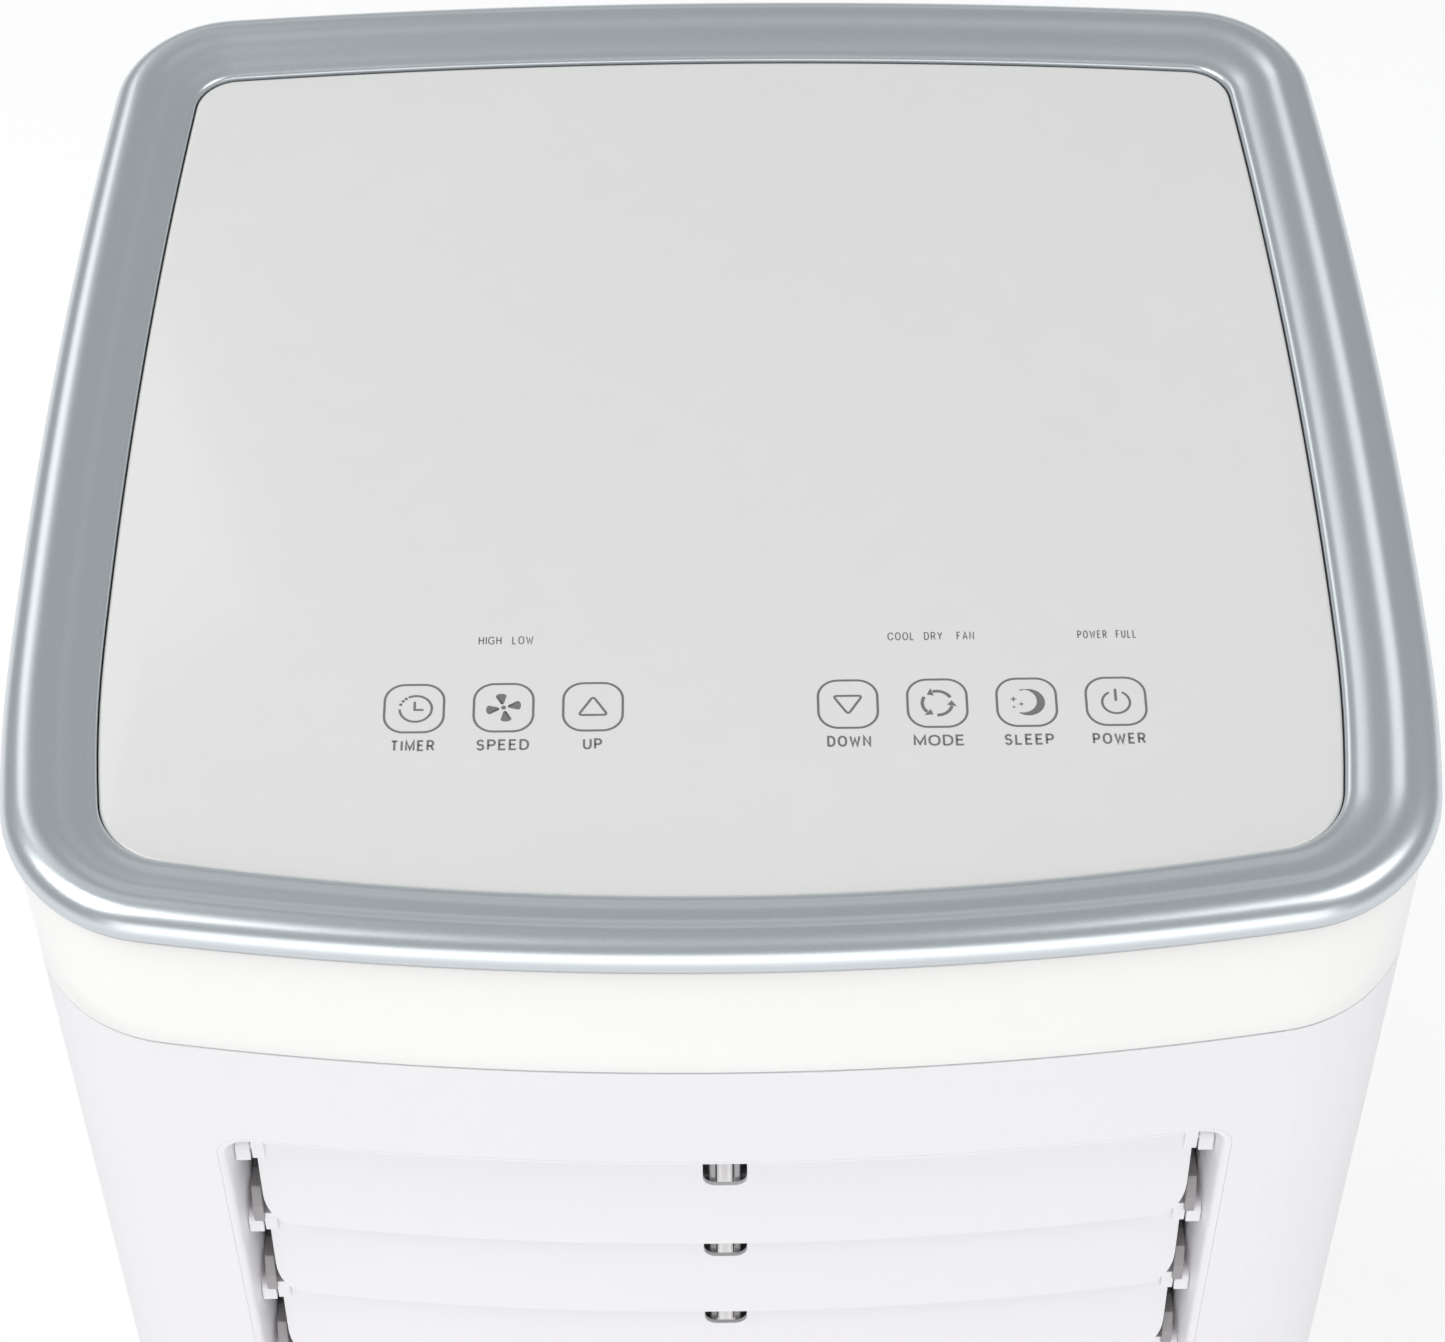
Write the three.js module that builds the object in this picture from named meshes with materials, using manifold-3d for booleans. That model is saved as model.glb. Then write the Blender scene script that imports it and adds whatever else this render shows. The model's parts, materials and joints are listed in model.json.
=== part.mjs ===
// Portable air conditioner, millimetres, +Z up.
// Origin: on the floor under the middle of the body. The front, with the air outlet, faces -Y.
import * as THREE from 'three';
import { mergeVertices } from 'three/addons/utils/BufferGeometryUtils.js';
import Module from 'manifold-3d';

const wasm = await Module();
wasm.setup();

// ---------------------------------------------------------------- driving dimensions
const HEIGHT = 640;            // floor to the crest of the rim
const PANEL_TOP = 635.5;       // control panel face
const DECK_TOP = 630.6;        // top cover deck that carries rim and panel
const SEAM_Z = 589.6;          // lower edge of the top cover
const SHELL_BOTTOM = 54.3;     // lower edge of front and rear shells
const BASE_BOTTOM = 34;        // underside of the base pan
const BASE_TOP = 54;
const BASE_FLOOR = 36.5;       // upper face of the base pan floor
const WALL = 2.5;              // moulded wall thickness
const GAP = 0.3;               // clearance between pieces that touch
const BODY_INSET = 2;          // body side, in from the rim's widest line
const SPLIT_Y = -40;           // seam between front and rear shell

// Half of a plan outline is six arcs that meet tangentially, from front centre to back centre.
// Each row holds a radius and the direction in degrees that the outward normal reaches at its end.
const RIM_ARCS = [[830, -81.26], [38.5, -6.21], [360, 0], [1793, 5.85], [30.2, 85.58], [1601.5, 90]];
const PANEL_ARCS = [[695.6, -79.87], [17.7, -6.81], [355, 0], [1805, 5.57], [10.7, 85.49], [1537, 90]];
const ARC_STEPS = [2, 4, 2, 3, 3, 2];
const RIM_FRONT_Y = -148.5;
const PANEL_FRONT_Y = -130.2;

// Air outlet and louver
const OUTLET_HALF_W = 118.2;
const OUTLET_TOP = 551.2;
const OUTLET_BOTTOM = 360;
const BLADE_COUNT = 5;
const BLADE_PITCH = 33.6;
const BLADE_HALF_W = 110.2;
const BLADE_ABOVE_PIVOT = 4;
const BLADE_BELOW_PIVOT = 31.6;
const BLADE_THICK = 1.8;
const BLADE_CORNER = [6, 12];   // lower corners, across and up
const NOTCH_HALF_W = 5.2;      // notch in the top edge that clears the link bar
const NOTCH_DEPTH = 11.5;
const BLADE_ARC_R = 830;
const PIVOT_Y = -131.6;
const PIVOT_1_Z = 537.8;
const LINK_DY = 9;             // link pin behind the blade pivot
const LINK_DZ = -6;            // link pin below the blade pivot
const LINK_W = 3.7;

// Rear
const EXHAUST_Z = 290;
const EXHAUST_R = 70;
const UPPER_GRILLE = { halfW: 125.6, z0: 395.9, z1: 560.1, rows: 7 };
const LOWER_GRILLE = { halfW: 115.6, z0: 80.4, z1: 197.6, rows: 5 };

// Casters
const CASTER_X = 112;
const CASTER_Y = 102;
const WHEEL_R = 15;
const WHEEL_W = 12;
const CASTER_TRAIL = 9;

// ---------------------------------------------------------------- solids
function toSolid(geometry) {
  const bare = geometry.clone();
  bare.deleteAttribute('normal');
  bare.deleteAttribute('uv');
  const merged = mergeVertices(bare, 1e-3);
  const kept = [];
  for (let i = 0; i < merged.index.count; i += 3) {
    const [a, b, c] = [0, 1, 2].map((k) => merged.index.getX(i + k));
    if (a !== b && b !== c && c !== a) kept.push(a, b, c);
  }
  return new wasm.Manifold(new wasm.Mesh({
    numProp: 3,
    vertProperties: new Float32Array(merged.attributes.position.array),
    triVerts: new Uint32Array(kept),
  }));
}

function toGeometry(solid) {
  const mesh = solid.getMesh();
  const geometry = new THREE.BufferGeometry();
  geometry.setAttribute('position', new THREE.BufferAttribute(new Float32Array(mesh.vertProperties), 3));
  geometry.setIndex(new THREE.BufferAttribute(new Uint32Array(mesh.triVerts), 1));
  return geometry;
}

const join = (...solids) => solids.reduce((sum, solid) => sum.add(solid));
const cut = (solid, ...tools) => tools.reduce((rest, tool) => rest.subtract(tool), solid);

function block(x0, x1, y0, y1, z0, z1) {
  const geometry = new THREE.BoxGeometry(x1 - x0, y1 - y0, z1 - z0);
  return toSolid(geometry.translate((x0 + x1) / 2, (y0 + y1) / 2, (z0 + z1) / 2));
}

// A block between two rectangles that stand across Y, each given as [x0, x1, z0, z1].
function taper(front, back, y0, y1) {
  const geometry = new THREE.BoxGeometry(1, 1, 1);
  const position = geometry.attributes.position;
  for (let i = 0; i < position.count; i += 1) {
    const atBack = position.getY(i) > 0;
    const [x0, x1, z0, z1] = atBack ? back : front;
    position.setXYZ(i, position.getX(i) > 0 ? x1 : x0, atBack ? y1 : y0, position.getZ(i) > 0 ? z1 : z0);
  }
  return toSolid(geometry);
}

// A round bar along X, Y or Z: u and v are its centre in the other two axes, in X, Y, Z order.
function bar(axis, r, from, to, u, v, sides = 16) {
  const geometry = new THREE.CylinderGeometry(r, r, to - from, sides);
  const middle = (from + to) / 2;
  if (axis === 'x') geometry.rotateZ(-Math.PI / 2).translate(middle, u, v);
  if (axis === 'y') geometry.translate(u, middle, v);
  if (axis === 'z') geometry.rotateX(Math.PI / 2).translate(u, v, middle);
  return toSolid(geometry);
}

function ringBar(axis, rOut, rIn, from, to, u, v, sides = 24) {
  return cut(bar(axis, rOut, from, to, u, v, sides), bar(axis, rIn, from - 1, to + 1, u, v, sides));
}

function prism(points, z0, z1) {
  const geometry = new THREE.ExtrudeGeometry(new THREE.Shape(points), { depth: z1 - z0, bevelEnabled: false });
  return toSolid(geometry.translate(0, 0, z0));
}

// A flat plate whose outline is drawn in Y and Z, between two X positions.
function sidePlate(points, x0, x1) {
  const geometry = new THREE.ExtrudeGeometry(
    new THREE.Shape(points.map(([y, z]) => new THREE.Vector2(y, z))),
    { depth: x1 - x0, bevelEnabled: false },
  );
  const turn = new THREE.Matrix4().set(0, 0, 1, x0, 1, 0, 0, 0, 0, 1, 0, 0, 0, 0, 0, 1);
  return toSolid(geometry.applyMatrix4(turn));
}

function pipe(route, r, steps, sides = 8) {
  const curve = new THREE.CatmullRomCurve3(route.map((p) => new THREE.Vector3(...p)), false, 'centripetal');
  const section = new THREE.Shape();
  for (let i = 0; i < sides; i += 1) {
    const angle = (i / sides) * 2 * Math.PI;
    const [x, y] = [r * Math.cos(angle), r * Math.sin(angle)];
    if (i === 0) section.moveTo(x, y);
    else section.lineTo(x, y);
  }
  return toSolid(new THREE.ExtrudeGeometry(section, { steps, bevelEnabled: false, extrudePath: curve }));
}

// ---------------------------------------------------------------- plan outlines
function planOutline(arcs, frontY, inset) {
  const half = [new THREE.Vector2(0, frontY + inset)];
  let from = -90;
  arcs.forEach(([radius, to], row) => {
    const r = radius - inset;
    const start = half[half.length - 1];
    const a0 = THREE.MathUtils.degToRad(from);
    const a1 = THREE.MathUtils.degToRad(to);
    const centre = new THREE.Vector2(start.x - r * Math.cos(a0), start.y - r * Math.sin(a0));
    for (let i = 1; i <= ARC_STEPS[row]; i += 1) {
      const a = a0 + ((a1 - a0) * i) / ARC_STEPS[row];
      half.push(new THREE.Vector2(centre.x + r * Math.cos(a), centre.y + r * Math.sin(a)));
    }
    from = to;
  });
  half[half.length - 1].x = 0;
  const mirrored = half.slice(1, -1).reverse().map((p) => new THREE.Vector2(-p.x, p.y));
  return [...half, ...mirrored];
}

const rimOutline = (inset) => planOutline(RIM_ARCS, RIM_FRONT_Y, inset);
const panelOutline = (inset) => planOutline(PANEL_ARCS, PANEL_FRONT_Y, inset);
const bodySolid = (inset, z0, z1) => prism(rimOutline(BODY_INSET + inset), z0, z1);
const bodyWall = (inset, z0, z1) => cut(
  bodySolid(inset, z0, z1),
  bodySolid(inset + WALL, z0 - 1, z1 + 1),
);

// Height of the body's back face along Y at a given x.
const BACK_R = RIM_ARCS[5][0] - BODY_INSET;
const backY = (x) => -RIM_FRONT_Y - BODY_INSET - (BACK_R - Math.sqrt(BACK_R ** 2 - x ** 2));

// ---------------------------------------------------------------- rim and top
// Rim section: u runs from the widest line (0) to the edge beside the panel (1).
const RIM_SECTION = [
  [0.17, 630.9], [0, 634.3], [0.03, 636.9], [0.1, 639.2], [0.22, HEIGHT], [0.34, 639.3],
  [0.5, 637.6], [0.68, 636.5], [0.95, 636.6], [1, 633.2], [0.9, 630.9],
];

function rim() {
  const outer = rimOutline(0);
  const inner = panelOutline(-0.4);
  const count = outer.length;
  const rows = RIM_SECTION.length;
  const positions = [];
  outer.forEach((point, i) => {
    RIM_SECTION.forEach(([u, z]) => {
      positions.push(THREE.MathUtils.lerp(point.x, inner[i].x, u), THREE.MathUtils.lerp(point.y, inner[i].y, u), z);
    });
  });
  const index = [];
  for (let i = 0; i < count; i += 1) {
    for (let j = 0; j < rows; j += 1) {
      const a = i * rows + j;
      const b = ((i + 1) % count) * rows + j;
      const c = ((i + 1) % count) * rows + ((j + 1) % rows);
      const d = i * rows + ((j + 1) % rows);
      index.push(a, b, c, a, c, d);
    }
  }
  const geometry = new THREE.BufferGeometry();
  geometry.setAttribute('position', new THREE.Float32BufferAttribute(positions, 3));
  geometry.setIndex(index);
  return toSolid(geometry);
}

function topCover() {
  const skirt = bodyWall(0, SEAM_Z, DECK_TOP - 1);
  const deck = bodySolid(0, DECK_TOP - WALL, DECK_TOP);
  const pad = prism(panelOutline(1.2), DECK_TOP - 1, 632.6);
  const lip = cut(bodySolid(WALL + GAP, SEAM_Z - 9, SEAM_Z + 4), bodySolid(WALL + 1.9, SEAM_Z - 10, SEAM_Z + 5));
  const lipRoot = cut(bodySolid(1, SEAM_Z + 2, SEAM_Z + 4), bodySolid(WALL + 1.9, SEAM_Z, SEAM_Z + 5));
  return join(skirt, deck, pad, lip, lipRoot);
}

// ---------------------------------------------------------------- shells
function frontShell() {
  const wall = bodyWall(0, SHELL_BOTTOM, SEAM_Z - GAP);
  const rest = block(-200, 200, SPLIT_Y - GAP, 200, 0, 700);
  const outlet = block(-OUTLET_HALF_W, OUTLET_HALF_W, -200, -100, OUTLET_BOTTOM, OUTLET_TOP);
  return cut(wall, rest, outlet);
}

const HANDLE = { y0: 12, y1: 102, z0: 528, z1: 564, depth: 24 };

function handleHole(side, grow) {
  const inner = side > 0 ? 100 : -200;
  return block(
    inner, inner + 100, HANDLE.y0 - grow, HANDLE.y1 + grow, HANDLE.z0 - grow, HANDLE.z1 + grow,
  );
}

function handleCup(side) {
  const far = side * 157;
  const floor = side * (157 - HANDLE.depth);
  const outer = block(
    Math.min(far, floor - side * 2), Math.max(far, floor - side * 2),
    HANDLE.y0, HANDLE.y1, HANDLE.z0, HANDLE.z1,
  );
  const hollow = block(
    Math.min(side * 200, floor), Math.max(side * 200, floor),
    HANDLE.y0 + 2, HANDLE.y1 - 2, HANDLE.z0 + 2, HANDLE.z1 - 2,
  );
  return cut(outer.intersect(bodySolid(0.2, 500, 600)), hollow);
}

const UPPER_DRAIN = [105, 372];
const LOWER_DRAIN = [0, 67];
const CORD_PORT = [-70, 67];

function rearShell() {
  const wall = bodyWall(0, SHELL_BOTTOM, SEAM_Z - GAP);
  const rest = block(-200, 200, -200, SPLIT_Y, 0, 700);
  const grilleHole = (g) => block(-g.halfW - 0.4, g.halfW + 0.4, 100, 200, g.z0 - 0.4, g.z1 + 0.4);
  return cut(
    wall, rest, grilleHole(UPPER_GRILLE), grilleHole(LOWER_GRILLE),
    bar('y', EXHAUST_R + 2.8, 100, 200, 0, EXHAUST_Z, 32),
    bar('y', 7, 100, 200, ...UPPER_DRAIN), bar('y', 7, 100, 200, ...LOWER_DRAIN),
    bar('y', 7, 100, 200, ...CORD_PORT), handleHole(1, 0.3), handleHole(-1, 0.3),
  );
}

// A grille that follows the back of the body, with rows of slots in two columns.
function backGrille({ halfW, z0, z1, rows }) {
  const band = cut(bodySolid(0, z0, z1), bodySolid(WALL, z0 - 1, z1 + 1));
  let grille = band.intersect(block(-halfW, halfW, 100, 200, z0, z1));
  const pitch = (z1 - z0 - 14) / rows;
  for (let row = 0; row < rows; row += 1) {
    const z = z0 + 7 + pitch * (row + 0.5);
    for (const side of [-1, 1]) {
      const x = side * halfW * 0.48;
      grille = cut(grille, block(x - halfW * 0.43, x + halfW * 0.43, 100, 200, z - pitch * 0.3, z + pitch * 0.3));
    }
  }
  return grille;
}

function basePan() {
  const pan = bodySolid(0, BASE_BOTTOM, BASE_TOP);
  const hollow = bodySolid(WALL, BASE_FLOOR, BASE_TOP + 1);
  let solid = cut(pan, hollow);
  for (const x of [-CASTER_X, CASTER_X]) {
    for (const y of [-CASTER_Y, CASTER_Y]) {
      solid = join(solid, bar('z', 9, BASE_BOTTOM, 46, x, y, 10));
      solid = cut(solid, bar('z', 5.7, BASE_BOTTOM - 1, 44, x, y, 10));
    }
  }
  return solid;
}

// ---------------------------------------------------------------- air outlet and louver
function outletFrame() {
  const half = OUTLET_HALF_W - GAP;
  const head = block(-half, half, -149, -124, OUTLET_BOTTOM + GAP, OUTLET_TOP - GAP);
  const neck = block(-115, 115, -125, -99, OUTLET_BOTTOM + 1, 549.5);
  const flare = taper([-126.4, 126.4, 361.4, 550.9], [-113.4, 113.4, 364, 547], -152, -128);
  const passage = block(-113.4, 113.4, -129, -98, 364, 547);
  let frame = cut(join(head, neck).intersect(bodySolid(0.1, 300, 600)), flare, passage);
  for (let k = 0; k < BLADE_COUNT; k += 1) {
    const z = PIVOT_1_Z - k * BLADE_PITCH;
    for (const side of [-1, 1]) {
      const bracket = block(
        side > 0 ? 111.4 : -115, side > 0 ? 115 : -111.4, PIVOT_Y - 3, PIVOT_Y + 4, z - 4, z + 3.6,
      );
      frame = join(frame, bracket);
      const hole = side > 0 ? [110, 113.9] : [-113.9, -110];
      frame = cut(frame, bar('x', 1.9, hole[0], hole[1], PIVOT_Y, z, 8));
    }
  }
  return frame;
}

function outletGuard() {
  let guard = block(-113.1, 113.1, -113, -109, 364.3, 546.7);
  for (const side of [-1, 1]) {
    for (let column = 0; column < 3; column += 1) {
      const x = side * (22 + column * 35.6);
      for (let row = 0; row < 2; row += 1) {
        const z = 369 + row * 89;
        guard = cut(guard, block(x - 16.4, x + 16.4, -120, -100, z, z + 84));
      }
    }
  }
  return guard;
}

const BLADE_FRONT_Y = -7.2;    // front face at the middle of the top edge, from the pivot
const BLADE_SLANT = 0.0983;    // how far the face comes forward for each millimetre down

function blade() {
  const bow = (x) => BLADE_ARC_R - Math.sqrt(BLADE_ARC_R ** 2 - x ** 2);
  const front = [];
  const back = [];
  for (let i = 0; i <= 8; i += 1) {
    const x = -BLADE_HALF_W + (i * BLADE_HALF_W) / 4;
    front.push(new THREE.Vector2(x, BLADE_FRONT_Y + bow(x)));
    back.unshift(new THREE.Vector2(x, BLADE_FRONT_Y + bow(x) + BLADE_THICK));
  }
  const [z0, z1] = [-BLADE_BELOW_PIVOT, BLADE_ABOVE_PIVOT];
  const strip = new THREE.ExtrudeGeometry(
    new THREE.Shape([...front, ...back]), { depth: z1 - z0, bevelEnabled: false },
  ).translate(0, 0, z0);
  const position = strip.attributes.position;
  for (let i = 0; i < position.count; i += 1) {
    position.setY(i, position.getY(i) + BLADE_SLANT * (position.getZ(i) - z1));
  }
  const [across, up] = BLADE_CORNER;
  const face = new THREE.Shape();
  face.moveTo(-BLADE_HALF_W - 1, z1 + 1);
  face.lineTo(-BLADE_HALF_W, z0 + up);
  face.absellipse(-BLADE_HALF_W + across, z0 + up, across, up, Math.PI, 1.5 * Math.PI);
  face.absellipse(BLADE_HALF_W - across, z0 + up, across, up, 1.5 * Math.PI, 2 * Math.PI);
  face.lineTo(BLADE_HALF_W + 1, z1 + 1);
  const trim = new THREE.ExtrudeGeometry(face, { depth: 60, bevelEnabled: false, curveSegments: 3 });
  let solid = toSolid(strip).intersect(toSolid(trim.rotateX(Math.PI / 2).translate(0, 30, 0)));
  solid = cut(solid, block(-NOTCH_HALF_W, NOTCH_HALF_W, -30, 20, z1 - NOTCH_DEPTH, z1 + 1));
  for (const side of [-1, 1]) {
    const ends = (a, b) => (side > 0 ? [a, b] : [-b, -a]);
    const lug = block(...ends(107.9, 111.1), -1.9, 2.6, -4.2, 3.6);
    const pin = bar('x', 1.5, ...ends(110.5, 113.4), 0, 0, 8);
    const ear = sidePlate(
      [[-6.6, -8.4], [-7.2, -13.5], [LINK_DY, LINK_DZ - 3], [LINK_DY + 3, LINK_DZ], [LINK_DY, LINK_DZ + 3], [0, -4.5]],
      ...ends(LINK_W / 2 + 0.4, LINK_W / 2 + 1.7),
    );
    solid = join(solid, lug, pin, ear);
  }
  return join(solid, bar('x', 1, -LINK_W / 2 - 1, LINK_W / 2 + 1, LINK_DY, LINK_DZ, 8));
}

function linkBar() {
  const top = PIVOT_1_Z + LINK_DZ;
  const bottom = top - (BLADE_COUNT - 1) * BLADE_PITCH;
  const y = PIVOT_Y + LINK_DY;
  let solid = block(-LINK_W / 2, LINK_W / 2, y - 2.4, y + 2.4, bottom - 4, top + 4);
  for (let k = 0; k < BLADE_COUNT; k += 1) {
    solid = cut(solid, bar('x', 1.4, -5, 5, y, top - k * BLADE_PITCH, 8));
  }
  return solid;
}

// ---------------------------------------------------------------- rear fittings
function exhaustCollar() {
  const tube = bar('y', EXHAUST_R + 2.2, 118, backY(0) + 1, 0, EXHAUST_Z, 32);
  const flange = bar('y', EXHAUST_R + 8, backY(0) + GAP, -RIM_FRONT_Y - 0.1, 0, EXHAUST_Z, 32);
  return cut(join(tube, flange), bar('y', EXHAUST_R, 110, 160, 0, EXHAUST_Z, 32));
}

const CAP_R = 10;
const seatY = (x) => backY(Math.max(Math.abs(x) - CAP_R, 0)) + GAP;

function plug(x, z) {
  const y = seatY(x);
  return join(bar('y', CAP_R, y, y + 1.6, x, z, 16), bar('y', 6.6, y - 10, y + 0.5, x, z));
}

function cordGland(x, z) {
  const y = seatY(x);
  return cut(
    join(bar('y', CAP_R, y, y + 1.6, x, z, 16), bar('y', 6.6, y - 8, y + 0.5, x, z)),
    bar('y', 4, y - 20, y + 5, x, z),
  );
}

function airFilter() {
  const { halfW, z0, z1 } = UPPER_GRILLE;
  const [x, low, high] = [halfW - 5, z0 + 5, z1 - 5];
  let solid = block(-x, x, 134, 138, low, high);
  for (let column = 0; column < 4; column += 1) {
    const x0 = -x + 3 + column * ((2 * x - 3) / 4);
    const x1 = x0 + (2 * x - 3) / 4 - 3;
    solid = cut(solid, block(x0, x1, 136.4, 140, low + 3, high - 3));
  }
  return solid;
}

// ---------------------------------------------------------------- casters
function casterFork() {
  const stem = bar('z', 5, 31, 43, 0, 0, 10);
  const disc = bar('z', 11, 31, 33.6, 0, 0, 14);
  const parts = [stem, disc];
  for (const side of [-1, 1]) {
    const [x0, x1] = side > 0 ? [WHEEL_W / 2 + 0.6, WHEEL_W / 2 + 2.6] : [-WHEEL_W / 2 - 2.6, -WHEEL_W / 2 - 0.6];
    parts.push(sidePlate([[-8, 33.6], [-8, 31], [4, 12], [13, 11], [14, 18], [9, 33.6]], x0, x1));
  }
  parts.push(block(-8, 8, -8, 9, 30.9, 33.6));
  parts.push(bar('x', 2, -WHEEL_W / 2 - 3.2, WHEEL_W / 2 + 3.2, CASTER_TRAIL, WHEEL_R, 8));
  return join(...parts);
}

function casterWheel() {
  const half = WHEEL_W / 2;
  const profile = [
    [2.4, -half], [13, -half], [WHEEL_R, -half + 2],
    [WHEEL_R, half - 2], [13, half], [2.4, half], [2.4, -half],
  ];
  const geometry = new THREE.LatheGeometry(profile.map(([r, h]) => new THREE.Vector2(r, h)), 16);
  return toSolid(geometry.rotateZ(Math.PI / 2).rotateX(Math.PI / 2));
}

// ---------------------------------------------------------------- cooling circuit
const COMPRESSOR = { x: -68, y: -42, r: 50, z0: 55, z1: 232 };

function compressor() {
  const { x, y, r, z0, z1 } = COMPRESSOR;
  const profile = [
    [0, z0], [r - 8, z0], [r, z0 + 12], [r, z1 - 22], [r - 6, z1 - 9], [r - 24, z1], [0, z1],
  ];
  const geometry = new THREE.LatheGeometry(profile.map(([a, b]) => new THREE.Vector2(a, b)), 20);
  const can = toSolid(geometry.rotateX(Math.PI / 2).translate(x, y, 0));
  const feet = [0, 120, 240].map((turn) => {
    const a = THREE.MathUtils.degToRad(turn + 20);
    return bar('z', 11, 52, 55.5, x + 56 * Math.cos(a), y + 56 * Math.sin(a), 12);
  });
  const plate = bar('z', 54, 52, 55.5, x, y, 20);
  return join(can, plate, ...feet, bar('z', 14, z1 - 2, z1 + 6, x, y, 16));
}

function compressorMount() {
  const { x, y } = COMPRESSOR;
  const ring = ringBar('z', 62, 50, BASE_FLOOR + GAP, 40, x, y, 20);
  const bushes = [0, 120, 240].map((turn) => {
    const a = THREE.MathUtils.degToRad(turn + 20);
    return bar('z', 9, BASE_FLOOR + GAP, 51.7, x + 56 * Math.cos(a), y + 56 * Math.sin(a), 12);
  });
  return join(ring, ...bushes);
}

// A finned coil: a core between two end plates, with return bends on both ends.
function coil(halfW, y0, y1, z0, z1) {
  const parts = [
    block(-halfW, halfW, y0 + 1, y1 - 1, z0 + 2, z1 - 2),
    block(-halfW - 2, -halfW, y0, y1, z0, z1), block(halfW, halfW + 2, y0, y1, z0, z1),
  ];
  const bends = Math.floor((z1 - z0) / 24);
  for (let k = 0; k < bends; k += 1) {
    const z = z0 + 14 + k * 24;
    for (const x of [-halfW, halfW]) {
      parts.push(bar('y', 7, y0 + 7, y1 - 7, x, z, 8));
    }
  }
  return join(...parts);
}

// A drum wheel about the Y axis: a back plate with a hub, forward-curved vanes and a front ring.
function drumWheel(r, y0, y1, z, hubBore) {
  const parts = [bar('y', r, y1 - 2, y1, 0, z, 24), ringBar('y', r, r - 8, y0, y0 + 2.5, 0, z, 24)];
  const vanes = 14;
  for (let k = 0; k < vanes; k += 1) {
    const vane = new THREE.BoxGeometry(10, y1 - y0 - 1.6, 1.2);
    vane.rotateY(THREE.MathUtils.degToRad(38)).translate(r - 5.4, (y0 + y1) / 2, 0);
    vane.rotateY((k / vanes) * 2 * Math.PI).translate(0, 0, z);
    parts.push(toSolid(vane));
  }
  parts.push(bar('y', 10, y1 - 20, y1, 0, z, 16));
  return cut(join(...parts), bar('y', hubBore, y0 - 1, y1 + 1, 0, z, 12));
}

function fanMotor(y0, y1, z, reach) {
  return join(
    bar('y', 34, y0, y1, 0, z, 24),
    bar('y', 12, y1 - 1, y1 + 4, 0, z, 16),
    block(-reach, reach, y0 + 14, y0 + 18, z - 6, z + 6),
    block(-6, 6, y0 + 14, y0 + 18, z - 34, z + 34),
  );
}

const BLOWER = { halfW: 110, y0: -98, y1: 92, z0: 398, z1: 552, z: 475, r: 66 };

function blowerHousing() {
  const { halfW, y0, y1, z0, z1, z } = BLOWER;
  return cut(
    block(-halfW, halfW, y0, y1, z0, z1),
    block(-halfW + WALL, halfW - WALL, y0 - 1, y1 - WALL, z0 + WALL, z1 - WALL),
    bar('y', 56, y1 - 10, y1 + 10, 0, z, 32),
  );
}

function exhaustHousing() {
  return cut(
    block(-100, 100, 60, 117, 206, 374),
    block(-97.5, 97.5, 62.5, 114.5, 208.5, 371.5),
    bar('y', 52, 50, 70, 0, EXHAUST_Z, 32),
    bar('y', 68, 110, 120, 0, EXHAUST_Z, 36),
  );
}

const SUCTION_X = 126;
const LIQUID_X = 140;

function partitionDeck() {
  const outline = (inset, z0, z1) => bodySolid(inset, z0, z1);
  const tray = cut(outline(WALL + 1, 380, 392), outline(WALL + 3, 383, 393));
  const hole = (x, y, r) => bar('z', r, 370, 400, x, y, 16);
  return cut(
    tray, block(-200, 200, -200, -97, 370, 400), hole(SUCTION_X, 60, 8), hole(LIQUID_X, 40, 4),
  );
}

// ---------------------------------------------------------------- small internals
function slingerWheel() {
  const disc = bar('y', 26, 98, 100, 75, 68, 20);
  const paddles = [];
  for (let k = 0; k < 8; k += 1) {
    const paddle = new THREE.BoxGeometry(8, 6, 2).translate(25, 0, 0);
    paddles.push(toSolid(paddle.rotateY((k / 8) * 2 * Math.PI).translate(75, 99, 68)));
  }
  return cut(join(disc, bar('y', 7, 94, 102, 75, 68), ...paddles), bar('y', 2.5, 90, 98.5, 75, 68, 10));
}

function slingerMotor() {
  return join(
    bar('y', 16, 62, 88, 75, 68, 24), bar('y', 2.1, 87, 98, 75, 68, 10),
    block(60, 90, 70, 80, BASE_FLOOR + GAP, 60),
  );
}

function floatStem() {
  return join(
    bar('z', 12, BASE_FLOOR + GAP, 38.6, 110, 10, 20), bar('z', 3, 38, 78, 110, 10, 12),
    bar('z', 7, 74, 78, 110, 10, 16),
  );
}

function controlBox() {
  return cut(block(45, 130, -116, -62, 60, 200), block(47, 128, -117, -64, 62, 198));
}

function mainBoard() {
  return join(
    block(50, 125, -68, -66.4, 66, 194), block(58, 84, -82, -67, 130, 180),
    block(94, 118, -78, -67, 140, 176), block(56, 72, -80, -67, 76, 100),
    block(80, 90, -78, -67, 76, 120),
  );
}

function displayBoard() {
  const parts = [block(-98, 98, -104, -50, 621, 622.6)];
  for (const x of [-68.5, -48.5, -28.5, 28.5, 48.5, 68.5, 88.5]) {
    parts.push(block(x - 5, x + 5, -82.4, -72.4, 622, 627.6));
  }
  return join(...parts);
}

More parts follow.
